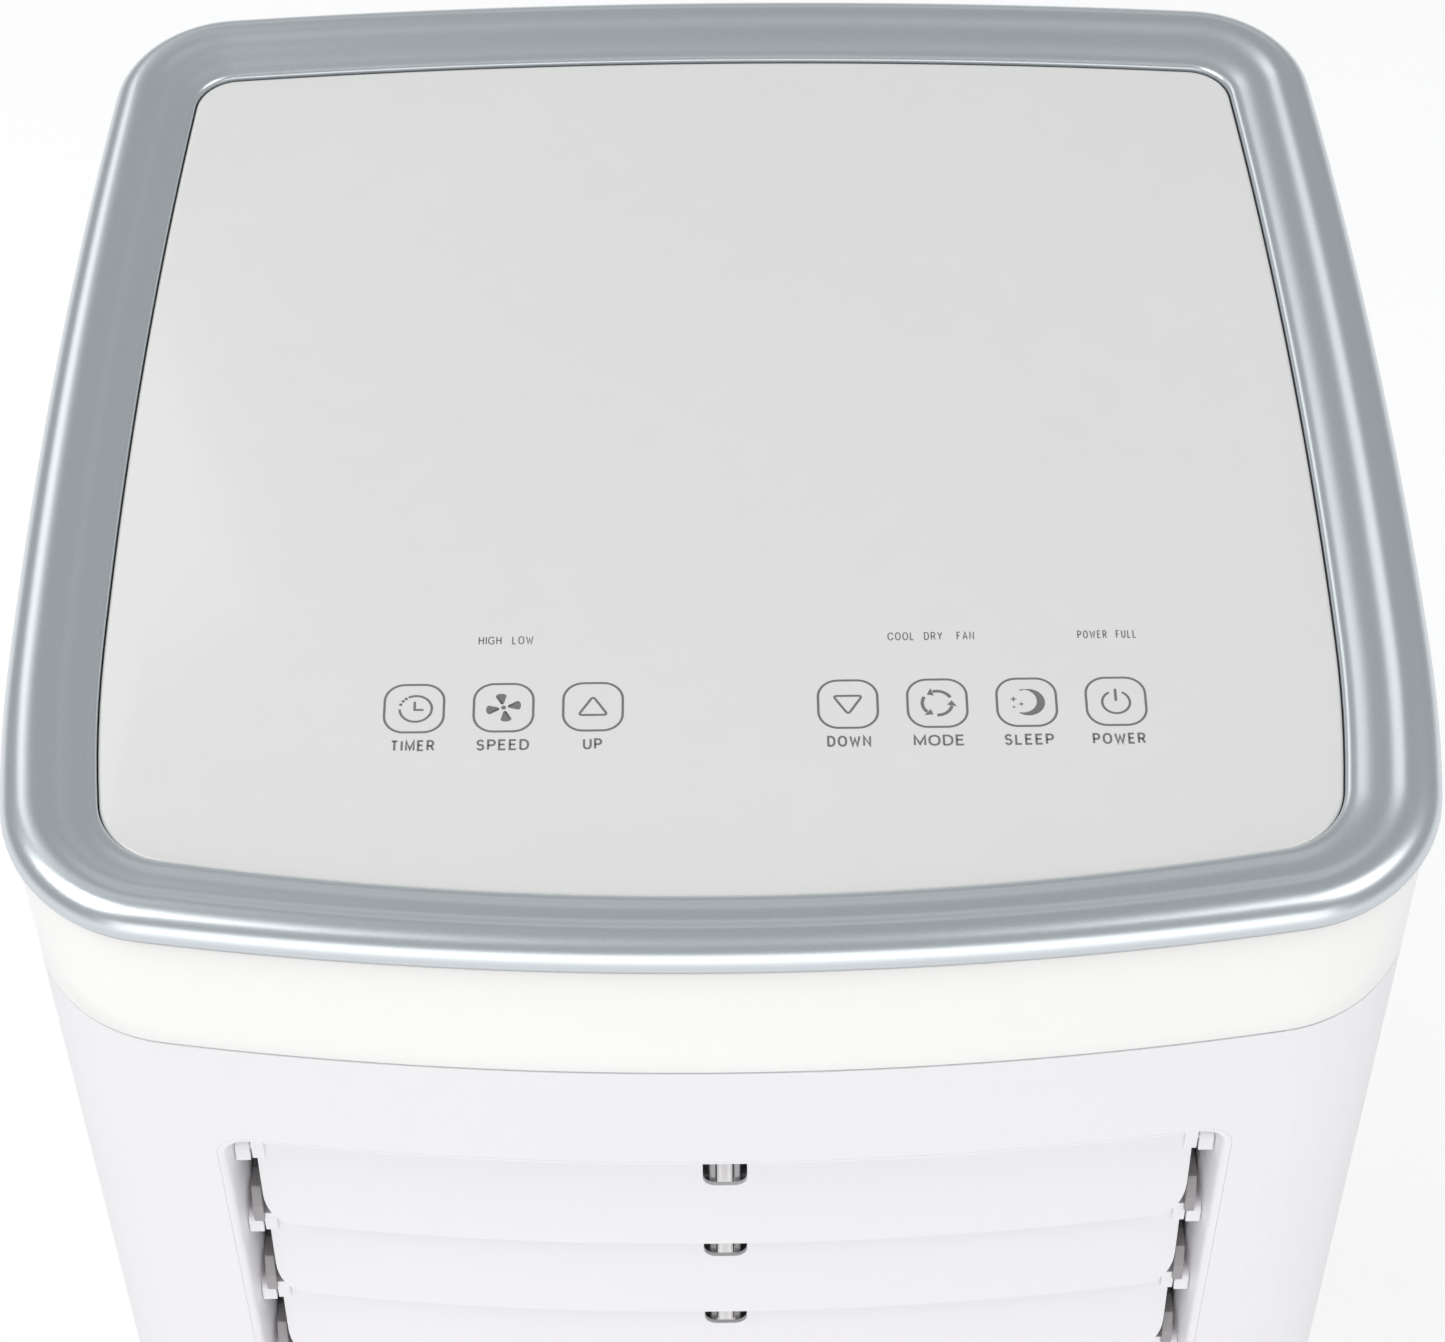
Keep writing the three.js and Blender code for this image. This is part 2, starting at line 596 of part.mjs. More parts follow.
// ---------------------------------------------------------------- materials
const finish = (color, roughness, metalness = 0) => new THREE.MeshStandardMaterial({ color, roughness, metalness });
const RIM_SILVER = finish(0xa2aaad, 0.34, 0.8);
const PANEL_WHITE = finish(0xe1e2e0, 0.12);
const COVER_WHITE = finish(0xf7f6f3, 0.4);
const SHELL_WHITE = finish(0xf1eff2, 0.42);
const GUARD_GREY = finish(0x8e8c8e, 0.55);
const DARK_PLASTIC = finish(0x2e2f31, 0.6);
const FOAM_GREY = finish(0xc9cbcc, 0.9);
const STEEL = finish(0xb4b7ba, 0.4, 0.9);
const BLACK_PAINT = finish(0x1d1e20, 0.45, 0.3);
const ALUMINIUM = finish(0xc3c6c8, 0.45, 0.9);
const COPPER = finish(0xb87344, 0.35, 0.9);
const RUBBER = finish(0x222222, 0.8);
const BOARD_GREEN = finish(0x2f6b43, 0.5);
const FILTER_GREY = finish(0x55585c, 0.8);

// ---------------------------------------------------------------- assembly
const unit = new THREE.Group();

function place(parent, name, solid, material, x = 0, y = 0, z = 0) {
  const mesh = new THREE.Mesh(toGeometry(solid), material);
  mesh.name = name;
  mesh.position.set(x, y, z);
  parent.add(mesh);
}

const casing = new THREE.Group();
unit.add(casing);
place(casing, 'top_rim', rim(), RIM_SILVER);
place(casing, 'control_panel', prism(panelOutline(0), 632.9, PANEL_TOP), PANEL_WHITE);
place(casing, 'top_cover', topCover(), COVER_WHITE);
place(casing, 'front_shell', frontShell(), SHELL_WHITE);
place(casing, 'rear_shell', rearShell(), SHELL_WHITE);
place(casing, 'base_pan', basePan(), SHELL_WHITE);
place(casing, 'handle_cup_left', handleCup(-1), SHELL_WHITE);
place(casing, 'handle_cup_right', handleCup(1), SHELL_WHITE);
place(casing, 'condenser_grille', backGrille(LOWER_GRILLE), SHELL_WHITE);
place(casing, 'exhaust_collar', exhaustCollar(), SHELL_WHITE);
place(casing, 'upper_drain_cap', plug(...UPPER_DRAIN), RUBBER);
place(casing, 'lower_drain_cap', plug(...LOWER_DRAIN), RUBBER);
place(casing, 'cord_gland', cordGland(...CORD_PORT), DARK_PLASTIC);

const filterDoor = new THREE.Group();
unit.add(filterDoor);
place(filterDoor, 'filter_cover', backGrille(UPPER_GRILLE), SHELL_WHITE);
place(filterDoor, 'air_filter', airFilter(), FILTER_GREY);

const louver = new THREE.Group();
unit.add(louver);
place(louver, 'outlet_frame', outletFrame(), SHELL_WHITE);
place(louver, 'outlet_guard', outletGuard(), GUARD_GREY);
for (let k = 0; k < BLADE_COUNT; k += 1) {
  place(louver, `louver_blade_${k + 1}`, blade(), SHELL_WHITE, 0, PIVOT_Y, PIVOT_1_Z - k * BLADE_PITCH);
}
place(louver, 'louver_link', linkBar(), SHELL_WHITE);

const casters = new THREE.Group();
unit.add(casters);
[[-1, -1], [1, -1], [-1, 1], [1, 1]].forEach(([sx, sy], i) => {
  const [x, y] = [sx * CASTER_X, sy * CASTER_Y];
  place(casters, `caster_fork_${i + 1}`, casterFork(), DARK_PLASTIC, x, y, 0);
  place(casters, `caster_wheel_${i + 1}`, casterWheel(), RUBBER, x, y + CASTER_TRAIL, WHEEL_R);
});

const cooling = new THREE.Group();
unit.add(cooling);
place(cooling, 'compressor', compressor(), BLACK_PAINT);
place(cooling, 'compressor_mount', compressorMount(), RUBBER);
place(cooling, 'accumulator', join(
  bar('z', 20, 76, 176, 0, -70, 20), bar('z', 8, 175, 184, 0, -70, 12), bar('z', 8, 70, 77, 0, -70, 12),
), BLACK_PAINT);
place(cooling, 'condenser_coil', coil(116, 115, 137, 58, 202), ALUMINIUM);
place(cooling, 'evaporator_coil', coil(122, 98, 122, 400, 550), ALUMINIUM);
place(cooling, 'filter_drier', join(
  bar('z', 9, 124, 176, LIQUID_X, 40, 16), bar('z', 4, 118, 182, LIQUID_X, 40, 12),
), COPPER);
place(cooling, 'discharge_pipe', pipe(
  [[-68, -42, 238.4], [-68, -42, 254], [-88, -20, 268], [-128, 10, 268], [-137, 60, 250], [-136, 104, 196],
    [-133, 124, 172], [-125, 126, 168]], 4, 26, 6,
), COPPER);
place(cooling, 'suction_pipe', pipe(
  [[133.2, 110, 414], [138, 100, 412], [133, 72, 406], [SUCTION_X, 60, 392], [SUCTION_X, 58, 350],
    [122, 20, 318], [80, -50, 268], [20, -72, 228], [0, -70, 205], [0, -70, 184.4]], 5, 30, 6,
), COPPER);
place(cooling, 'condenser_outlet_pipe', pipe(
  [[125.2, 126, 72], [134, 121, 76], [139, 90, 90], [LIQUID_X, 52, 102], [LIQUID_X, 40, 110],
    [LIQUID_X, 40, 117.6]], 3, 18, 6,
), COPPER);
place(cooling, 'capillary_pipe', pipe(
  [[LIQUID_X, 40, 182.4], [LIQUID_X, 40, 230], [LIQUID_X, 40, 380], [LIQUID_X, 44, 404], [141, 84, 452],
    [138, 107, 462], [129.8, 110, 462]], 1.8, 22, 6,
), COPPER);

const airflow = new THREE.Group();
unit.add(airflow);
place(airflow, 'partition_deck', partitionDeck(), FOAM_GREY);
place(airflow, 'blower_housing', blowerHousing(), FOAM_GREY);
place(airflow, 'blower_wheel', drumWheel(BLOWER.r, 22, 84, BLOWER.z, 4.3), DARK_PLASTIC);
place(airflow, 'blower_shaft', bar('y', 4, 9.4, 88, 0, BLOWER.z, 12), STEEL);
place(airflow, 'blower_motor', fanMotor(-34, 5, BLOWER.z, 107), BLACK_PAINT);
place(airflow, 'exhaust_fan_housing', exhaustHousing(), FOAM_GREY);
place(airflow, 'exhaust_fan_wheel', drumWheel(60, 66, 110, EXHAUST_Z, 4.3), DARK_PLASTIC);
place(airflow, 'exhaust_fan_shaft', bar('y', 4, 52.4, 112, 0, EXHAUST_Z, 12), STEEL);
place(airflow, 'exhaust_fan_motor', fanMotor(6, 48, EXHAUST_Z, 96), BLACK_PAINT);
place(airflow, 'slinger_wheel', slingerWheel(), DARK_PLASTIC);
place(airflow, 'slinger_motor', slingerMotor(), BLACK_PAINT);

const controls = new THREE.Group();
unit.add(controls);
place(controls, 'float_stem', floatStem(), DARK_PLASTIC);
place(controls, 'water_float', ringBar('z', 11, 3.5, 39, 53, 110, 10, 16), FOAM_GREY);
place(controls, 'control_box', controlBox(), STEEL);
place(controls, 'main_board', mainBoard(), BOARD_GREEN);
place(controls, 'run_capacitor', bar('z', 14, 63, 128, 108, -99, 20), ALUMINIUM);
place(controls, 'display_board', displayBoard(), BOARD_GREEN);

export default unit;
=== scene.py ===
"""Portable air conditioner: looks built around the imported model. Lengths are in millimetres, but the
lights and the floor are placed in metres."""
import json
import math

import bmesh
import bpy
from mathutils import Matrix, Vector


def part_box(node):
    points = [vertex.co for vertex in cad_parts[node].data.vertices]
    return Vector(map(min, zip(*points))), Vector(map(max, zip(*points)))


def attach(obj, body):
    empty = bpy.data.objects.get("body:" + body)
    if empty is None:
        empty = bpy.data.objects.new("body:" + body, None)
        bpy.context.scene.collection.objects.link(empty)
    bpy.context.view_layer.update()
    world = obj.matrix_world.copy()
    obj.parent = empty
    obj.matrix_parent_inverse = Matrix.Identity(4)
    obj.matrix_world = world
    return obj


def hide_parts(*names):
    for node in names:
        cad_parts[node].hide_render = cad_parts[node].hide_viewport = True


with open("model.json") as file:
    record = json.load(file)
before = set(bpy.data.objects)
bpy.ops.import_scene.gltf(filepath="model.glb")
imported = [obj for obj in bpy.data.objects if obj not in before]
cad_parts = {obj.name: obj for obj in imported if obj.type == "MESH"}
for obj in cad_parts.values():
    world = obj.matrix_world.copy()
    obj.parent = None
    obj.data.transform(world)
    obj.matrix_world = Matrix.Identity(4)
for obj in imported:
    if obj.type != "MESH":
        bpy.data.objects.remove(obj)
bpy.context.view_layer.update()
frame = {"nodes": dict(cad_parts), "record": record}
MM = 0.001


def box_mm(node):
    """Lowest and highest corner of a CAD node in millimetres."""
    low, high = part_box(node)
    return Vector(low) / MM, Vector(high) / MM


# ------------------------------------------------------------------ driving values
RIM_LOW, RIM_HIGH = box_mm("top_rim")
PANEL_LOW, PANEL_HIGH = box_mm("control_panel")
SHELL_LOW, SHELL_HIGH = box_mm("front_shell")
REAR_LOW, REAR_HIGH = box_mm("rear_shell")
BASE_LOW, BASE_HIGH = box_mm("base_pan")
FRAME_LOW, FRAME_HIGH = box_mm("outlet_frame")
GUARD_LOW, GUARD_HIGH = box_mm("outlet_guard")
LINK_LOW, LINK_HIGH = box_mm("louver_link")
HINGES = {joint["name"]: joint for joint in frame["record"]["behaviour"]["joints"]}

PANEL_TOP = PANEL_HIGH.z
BODY_INSET = 2.0                 # body side, in from the rim's widest line
WALL = 2.5
SEAM_Z = SHELL_HIGH.z + 0.3      # lower edge of the top cover's skirt

# Plan outlines from front centre to back centre: each arc's radius, and the direction in degrees
# that its outward normal reaches.
RIM_ARCS = ((830, -81.26), (38.5, -6.21), (360, 0), (1793, 5.85), (30.2, 85.58), (1601.5, 90))
PANEL_ARCS = ((695.6, -79.87), (17.7, -6.81), (355, 0), (1805, 5.57), (10.7, 85.49), (1537, 90))
ARC_STEPS = (16, 16, 6, 20, 14, 14)
RIM_FRONT = RIM_LOW.y
PANEL_FRONT = PANEL_LOW.y


def mm(point):
    return Vector(point) * MM


# ------------------------------------------------------------------ camera, floor and light
CAMERA_PLACE = (-2.0, -614.9, 706.6 + PANEL_TOP)
CAMERA_PITCH, CAMERA_YAW, CAMERA_ROLL = (math.radians(a) for a in (52.3, 0.268, -0.389))
CAMERA_LENS = 98.81
LIGHT_AIM = (0, 0, 0.6)
# Name, place, width and height in metres, and power in watts.
LIGHTS = (
    ("key_box", (-1.11, 1.48, 2.16), 0.8, 1.3, 3.4),
    ("left_high_box", (-1.30, -0.35, 2.45), 1.3, 1.3, 16.5),
    ("right_high_box", (1.25, -0.30, 2.50), 1.3, 1.3, 9.5),
    ("back_strip", (0.0, 2.4, 1.42), 2.6, 0.5, 1.2),
    ("front_wall", (0.0, -2.4, 0.80), 3.4, 1.5, 18.6),
)
FLOOR_HALF = 6.0


def make_camera():
    """A long lens looking down on the top and the front of the unit."""
    pitch, yaw, roll = CAMERA_PITCH, CAMERA_YAW, CAMERA_ROLL
    forward = Vector((math.sin(yaw) * math.cos(pitch), math.cos(yaw) * math.cos(pitch), -math.sin(pitch)))
    level = Vector((math.cos(yaw), -math.sin(yaw), 0))
    upright = level.cross(forward)
    right = math.cos(roll) * level + math.sin(roll) * upright
    up = -math.sin(roll) * level + math.cos(roll) * upright
    data = bpy.data.cameras.new("camera")
    data.lens, data.sensor_width = CAMERA_LENS, 36
    camera = bpy.data.objects.new("camera", data)
    bpy.context.scene.collection.objects.link(camera)
    place = Matrix((right, up, -forward)).transposed().to_4x4()
    place.translation = mm(CAMERA_PLACE)
    camera.matrix_world = place
    bpy.context.scene.camera = camera


def make_light(name, place, width, height, power):
    data = bpy.data.lights.new(name, "AREA")
    data.shape = "RECTANGLE"
    data.size, data.size_y = width, height
    data.energy = power
    light = bpy.data.objects.new(name, data)
    light.location = place
    light.rotation_euler = (Vector(LIGHT_AIM) - Vector(place)).to_track_quat("-Z", "Y").to_euler()
    bpy.context.scene.collection.objects.link(light)


def make_studio():
    scene = bpy.context.scene
    scene.view_settings.view_transform = "Standard"
    world = bpy.data.worlds.new("soft_room")
    world.use_nodes = True
    background = world.node_tree.nodes["Background"]
    background.inputs["Color"].default_value = (0.97, 0.985, 1.0, 1)
    background.inputs["Strength"].default_value = 0.40
    scene.world = world
    for light in LIGHTS:
        make_light(*light)


def make_floor():
    mesh = bpy.data.meshes.new("floor")
    corners = [(u * FLOOR_HALF, v * FLOOR_HALF, 0) for u, v in ((-1, -1), (1, -1), (1, 1), (-1, 1))]
    mesh.from_pydata(corners, [], [(0, 1, 2, 3)])
    floor = bpy.data.objects.new("floor", mesh)
    bpy.context.scene.collection.objects.link(floor)
    material = bpy.data.materials.new("floor_white")
    material.use_nodes = True
    shader = material.node_tree.nodes["Principled BSDF"]
    shader.inputs["Base Color"].default_value = (0.92, 0.92, 0.92, 1)
    shader.inputs["Roughness"].default_value = 0.8
    shader.inputs["Emission Color"].default_value = (1, 1, 1, 1)
    shader.inputs["Emission Strength"].default_value = 0.34
    mesh.materials.append(material)


# ------------------------------------------------------------------ shader groups
def linear(*rgb):
    """Display red, green and blue, 0 to 255, as scene-linear RGBA."""
    channel = [value / 255 for value in rgb]
    return tuple(v / 12.92 if v <= 0.04045 else ((v + 0.055) / 1.055) ** 2.4 for v in channel) + (1.0,)


def new_group(name, inputs, outputs):
    tree = bpy.data.node_groups.new(name, "ShaderNodeTree")
    for label, value in inputs:
        socket = tree.interface.new_socket(label, in_out="INPUT", socket_type="NodeSocketFloat")
        socket.default_value = value
    for label in outputs:
        tree.interface.new_socket(label, in_out="OUTPUT", socket_type="NodeSocketFloat")
    return tree, tree.nodes.new("NodeGroupInput"), tree.nodes.new("NodeGroupOutput")


def combine(tree, operation, *terms):
    """A Math node; each term is a socket to link or a plain number."""
    node = tree.nodes.new("ShaderNodeMath")
    node.operation = operation
    for socket, term in zip(node.inputs, terms):
        if isinstance(term, bpy.types.NodeSocket):
            tree.links.new(term, socket)
        else:
            socket.default_value = term
    return node.outputs[0]


def object_place(tree):
    return tree.nodes.new("ShaderNodeTexCoord").outputs["Object"]


def split_xyz(tree, vector):
    node = tree.nodes.new("ShaderNodeSeparateXYZ")
    tree.links.new(vector, node.inputs[0])
    return node.outputs


def scaled_noise(tree, source, scale_socket, factor, detail, kind="ShaderNodeTexNoise"):
    """A noise on object coordinates whose scale is a group input times a factor."""
    scale = combine(tree, "MULTIPLY", scale_socket, factor)
    noise = tree.nodes.new(kind)
    if "Detail" in noise.inputs:
        noise.inputs["Detail"].default_value = detail
    tree.links.new(source, noise.inputs["Vector"])
    tree.links.new(scale, noise.inputs["Scale"])
    return noise


def spread(tree, value, low, high, out_low=0.0, out_high=1.0):
    ramp = tree.nodes.new("ShaderNodeMapRange")
    for socket, number in zip(ramp.inputs[1:5], (low, high, out_low, out_high)):
        socket.default_value = number
    tree.links.new(value, ramp.inputs[0])
    return ramp.outputs[0]


def grain_group():
    """Spark-eroded mould grain: a fine pebble with a little larger waviness."""
    tree, group_in, group_out = new_group("mould_grain", [("Scale", 1.0), ("Waviness", 0.3)], ["Height"])
    where = object_place(tree)
    pebble = scaled_noise(tree, where, group_in.outputs["Scale"], 2200, 3)
    wave = scaled_noise(tree, where, group_in.outputs["Scale"], 60, 2)
    height = combine(tree, "MULTIPLY_ADD", wave.outputs[0], group_in.outputs["Waviness"], pebble.outputs[0])
    tree.links.new(height, group_out.inputs["Height"])
    return tree


def mottle_group():
    """Broad soft unevenness of a moulded or painted surface, from 0 to 1."""
    tree, group_in, group_out = new_group("soft_mottle", [("Scale", 1.0)], ["Mask"])
    where = object_place(tree)
    broad = scaled_noise(tree, where, group_in.outputs["Scale"], 7, 3)
    tree.links.new(spread(tree, broad.outputs[0], 0.3, 0.7), group_out.inputs["Mask"])
    return tree


def flake_group():
    """Metallic paint: tiny flakes, each with its own brightness."""
    tree, group_in, group_out = new_group("paint_flake", [("Scale", 1.0)], ["Mask", "Height"])
    where = object_place(tree)
    cells = scaled_noise(tree, where, group_in.outputs["Scale"], 3400, 0, "ShaderNodeTexVoronoi")
    speck = tree.nodes.new("ShaderNodeSeparateColor")
    tree.links.new(cells.outputs["Color"], speck.inputs[0])
    orange_peel = scaled_noise(tree, where, group_in.outputs["Scale"], 220, 2)
    tree.links.new(speck.outputs[0], group_out.inputs["Mask"])
    tree.links.new(orange_peel.outputs[0], group_out.inputs["Height"])
    return tree


def dust_group():
    """Settled dust: more on faces that look up, broken up by a fine noise."""
    tree, group_in, group_out = new_group("settled_dust", [("Amount", 0.1)], ["Mask"])
    normal = tree.nodes.new("ShaderNodeNewGeometry").outputs["Normal"]
    upward = spread(tree, split_xyz(tree, normal)["Z"], 0.2, 1.0)
    where = object_place(tree)
    noise = tree.nodes.new("ShaderNodeTexNoise")
    noise.inputs["Scale"].default_value = 90
    noise.inputs["Detail"].default_value = 6
    tree.links.new(where, noise.inputs["Vector"])
    patchy = spread(tree, noise.outputs[0], 0.35, 0.75)
    both = combine(tree, "MULTIPLY", upward, patchy)
    mask = combine(tree, "MULTIPLY", both, group_in.outputs["Amount"])
    tree.links.new(mask, group_out.inputs["Mask"])
    return tree


def comb_group():
    """Parallel combed lines along X, such as the fins of a coil, as a height and a mask; the mask places
    painted shade in the gaps.
    """
    tree, group_in, group_out = new_group("fin_comb", [("Pitch", 2.0)], ["Height", "Mask"])
    where = object_place(tree)
    pitch = combine(tree, "MULTIPLY", group_in.outputs["Pitch"], MM)
    turns = combine(tree, "DIVIDE", split_xyz(tree, where)["X"], pitch)
    saw = combine(tree, "PINGPONG", turns, 0.5)
    tree.links.new(spread(tree, saw, 0.1, 0.4), group_out.inputs["Height"])
    tree.links.new(spread(tree, saw, 0.15, 0.35), group_out.inputs["Mask"])
    return tree


GRAIN = grain_group()
MOTTLE = mottle_group()
FLAKE = flake_group()
DUST = dust_group()
COMB = comb_group()


# ------------------------------------------------------------------ materials
class Finish:
    """One material: a Principled shader with the detail that its maker's finish has; some materials also
    carry painted shade or a painted glow.
    """

    def __init__(self, name, colour, roughness, metallic=0.0):
        self.material = bpy.data.materials.new(name)
        self.material.use_nodes = True
        self.tree = self.material.node_tree
        self.shader = self.tree.nodes["Principled BSDF"]
        self.shader.inputs["Base Color"].default_value = colour
        self.shader.inputs["Roughness"].default_value = roughness
        self.shader.inputs["Metallic"].default_value = metallic
        self.colour = colour
        self.base = None

    def effect(self, group, **values):
        node = self.tree.nodes.new("ShaderNodeGroup")
        node.node_tree = group
        for label, value in values.items():
            node.inputs[label].default_value = value
        return node

    def tint(self, mask, colour, share=1.0):
        """Blends the base colour towards another where the mask is high."""
        mix = self.tree.nodes.new("ShaderNodeMix")
        mix.data_type = "RGBA"
        mix.inputs[7].default_value = colour
        if self.base is None:
            mix.inputs[6].default_value = self.colour
        else:
            self.tree.links.new(self.base, mix.inputs[6])
        self.tree.links.new(spread(self.tree, mask, 0, 1, 0, share), mix.inputs[0])
        self.base = mix.outputs[2]
        self.tree.links.new(self.base, self.shader.inputs["Base Color"])

    def rough(self, mask, low, high):
        self.tree.links.new(spread(self.tree, mask, 0, 1, low, high), self.shader.inputs["Roughness"])

    def bump(self, height, depth, strength=1.0):
        """Depth is in millimetres."""
        node = self.tree.nodes.new("ShaderNodeBump")
        node.inputs["Distance"].default_value = depth * MM
        node.inputs["Strength"].default_value = strength
        self.tree.links.new(height, node.inputs["Height"])
        self.tree.links.new(node.outputs[0], self.shader.inputs["Normal"])


def moulded(name, colour, shade, roughness, depth=0.012, scale=1.0, dust=0.08):
    """Moulded plastic: mould grain, a slow change of colour and gloss, and a trace of dust."""
    finish = Finish(name, colour, roughness)
    mottle = finish.effect(MOTTLE, Scale=scale)
    finish.tint(mottle.outputs["Mask"], shade, 0.6)
    finish.tint(finish.effect(DUST, Amount=dust).outputs["Mask"], linear(176, 172, 166))
    finish.rough(mottle.outputs["Mask"], roughness - 0.04, roughness + 0.05)
    finish.bump(finish.effect(GRAIN, Scale=scale).outputs["Height"], depth)
    return finish.material


def glowing_tie():
    """White tie bar that stands deep in the louver; a painted glow, emission it does not have, keeps it
    reading as white in the shade there.
    """
    finish = Finish("tie_white_glow", linear(246, 245, 246), 0.35)
    mottle = finish.effect(MOTTLE, Scale=0.6)
    finish.tint(mottle.outputs["Mask"], linear(240, 239, 240), 0.6)
    finish.rough(mottle.outputs["Mask"], 0.3, 0.42)
    finish.bump(finish.effect(GRAIN, Scale=0.6).outputs["Height"], 0.004)
    # Painted glow: the bar gives off light of its own so that it reads as white in the louver's shade.
    finish.shader.inputs["Emission Color"].default_value = linear(246, 244, 245)
    finish.shader.inputs["Emission Strength"].default_value = 0.42
    return finish.material


def metal(name, colour, shade, roughness, depth=0.01, scale=1.0, dust=0.15):
    finish = Finish(name, colour, roughness, 1.0)
    mottle = finish.effect(MOTTLE, Scale=scale * 4)
    finish.tint(mottle.outputs["Mask"], shade, 0.7)
    finish.tint(finish.effect(DUST, Amount=dust).outputs["Mask"], linear(120, 116, 110))
    finish.rough(mottle.outputs["Mask"], roughness - 0.06, roughness + 0.1)
    finish.bump(finish.effect(GRAIN, Scale=scale * 0.4).outputs["Height"], depth)
    return finish.material


def silver_paint():
    """Fine silver paint over plastic, with a thin clear coat, and painted shade: darker on faces that turn
    from upward and a dark line under the rolled edge.
    """
    finish = Finish("rim_silver", linear(222, 229, 232), 0.3, 1.0)
    flake = finish.effect(FLAKE, Scale=1.0)
    finish.tint(flake.outputs["Mask"], linear(236, 243, 246), 0.3)
    normal = finish.tree.nodes.new("ShaderNodeNewGeometry").outputs["Normal"]
    upward = split_xyz(finish.tree, normal)["Z"]
    # Painted shade: the colour darkens as the face turns away from upward.
    finish.tint(spread(finish.tree, upward, 0.6, 0.1), linear(199, 204, 208))
    # Painted shade: faces that look down, under the rolled edge, are tinted dark as a shade line above the
    # cover.
    finish.tint(spread(finish.tree, upward, -0.1, -0.5), linear(112, 114, 117))
    finish.rough(flake.outputs["Mask"], 0.29, 0.32)
    finish.bump(flake.outputs["Height"], 0.0003)
    return finish.material


def gloss_panel():
    """High gloss light grey acrylic."""
    finish = Finish("panel_gloss", linear(244, 244, 242), 0.16)
    mottle = finish.effect(MOTTLE, Scale=0.7)
    finish.tint(mottle.outputs["Mask"], linear(242, 242, 240), 0.8)
    finish.tint(finish.effect(DUST, Amount=0.03).outputs["Mask"], linear(200, 198, 194))
    finish.rough(mottle.outputs["Mask"], 0.13, 0.19)
    finish.bump(finish.effect(GRAIN, Scale=0.02, Waviness=0.0).outputs["Height"], 0.01)
    finish.shader.inputs["Coat Weight"].default_value = 0.3
    finish.shader.inputs["Coat Roughness"].default_value = 0.06
    return finish.material


def fin_stock():
    """Coil fins: bright edges and painted shade in the gaps between them, combed across the coil."""
    finish = Finish("fin_aluminium", linear(196, 200, 202), 0.4, 0.9)
    comb = finish.effect(COMB, Pitch=1.8)
    # Painted shade: the comb mask darkens the gaps between the fins.
    finish.tint(comb.outputs["Mask"], linear(60, 62, 64), 0.85)
    mottle = finish.effect(MOTTLE, Scale=3.0)
    finish.rough(mottle.outputs["Mask"], 0.32, 0.5)
    finish.bump(comb.outputs["Height"], 0.5)
    return finish.material


def make_materials():
    """Colour and shade, then roughness, grain depth, grain scale and dust."""
    return {
        "rim_silver": silver_paint(),
        "panel_gloss": gloss_panel(),
        "cover_white": moulded("cover_white", linear(252, 251, 249), linear(250, 249, 247),
                               0.36, 0.004, 0.8, 0.02),
        "shell_white": moulded("shell_white", linear(243, 241, 244), linear(240, 238, 241),
                               0.42, 0.006, 1.0, 0.03),
        "blade_white": moulded("blade_white", linear(244, 242, 244), linear(241, 239, 241),
                               0.4, 0.005, 1.0, 0.03),
        "tie_white_glow": glowing_tie(),
        "guard_grey": moulded("guard_grey", linear(168, 164, 166), linear(150, 147, 149), 0.5, 0.01),
        "dark_plastic": moulded("dark_plastic", linear(58, 58, 60), linear(44, 44, 46), 0.5, 0.015),
        "wheel_black": moulded("wheel_black", linear(34, 34, 35), linear(26, 26, 27), 0.48, 0.02, 0.6, 0.25),
        "rubber_grey": moulded("rubber_grey", linear(96, 96, 98), linear(80, 80, 82), 0.72, 0.02, 0.8, 0.15),
        "foam_grey": moulded("foam_grey", linear(196, 198, 200), linear(180, 182, 184), 0.85, 0.05, 0.25),
        "filter_grey": moulded("filter_grey", linear(70, 74, 80), linear(56, 60, 66), 0.7, 0.02, 0.7, 0.3),
        "black_paint": moulded("black_paint", linear(40, 40, 42), linear(30, 30, 32), 0.34, 0.02, 0.3, 0.2),
        "steel": metal("steel", linear(190, 192, 194), linear(160, 163, 166), 0.34),
        "fin_aluminium": fin_stock(),
        "fin_bright": metal("fin_bright", linear(205, 208, 210), linear(170, 174, 178), 0.35),
        "copper": metal("copper", linear(206, 140, 102), linear(150, 88, 62), 0.3),
        "board_green": moulded("board_green", linear(44, 112, 70), linear(30, 88, 54), 0.35, 0.01, 0.5),
        "legend_grey": moulded("legend_grey", linear(128, 128, 131), linear(120, 120, 123), 0.5, 0.002),
    }


MATERIALS = make_materials()


# ------------------------------------------------------------------ mesh tools
def finish_piece(obj, body, slot, replaces=(), material=None):
    """Gives a new piece its material and the body it rides on, and hides the CAD parts that it stands for.
    """
    obj.data.materials.clear()
    obj.data.materials.append(MATERIALS[material or slot])
    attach(obj, body)
    if replaces:
        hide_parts(*replaces)
    return obj


def mesh_object(name, points, faces):
    mesh = bpy.data.meshes.new(name)
    mesh.from_pydata([tuple(Vector(p) * MM) for p in points], [], faces)
    obj = bpy.data.objects.new(name, mesh)
    bpy.context.scene.collection.objects.link(obj)
    return obj


def tidy(obj, sharp=38, merge=0.002):
    """Welds doubled points, turns the faces outward and marks the real edges as sharp."""
    work = bmesh.new()
    work.from_mesh(obj.data)
    bmesh.ops.remove_doubles(work, verts=work.verts, dist=merge * MM)
    bmesh.ops.dissolve_degenerate(work, dist=merge * MM * 0.5, edges=work.edges)
    bmesh.ops.recalc_face_normals(work, faces=work.faces)
    work.to_mesh(obj.data)
    work.free()
    obj.data.polygons.foreach_set("use_smooth", [True] * len(obj.data.polygons))
    obj.data.set_sharp_from_angle(angle=math.radians(sharp))


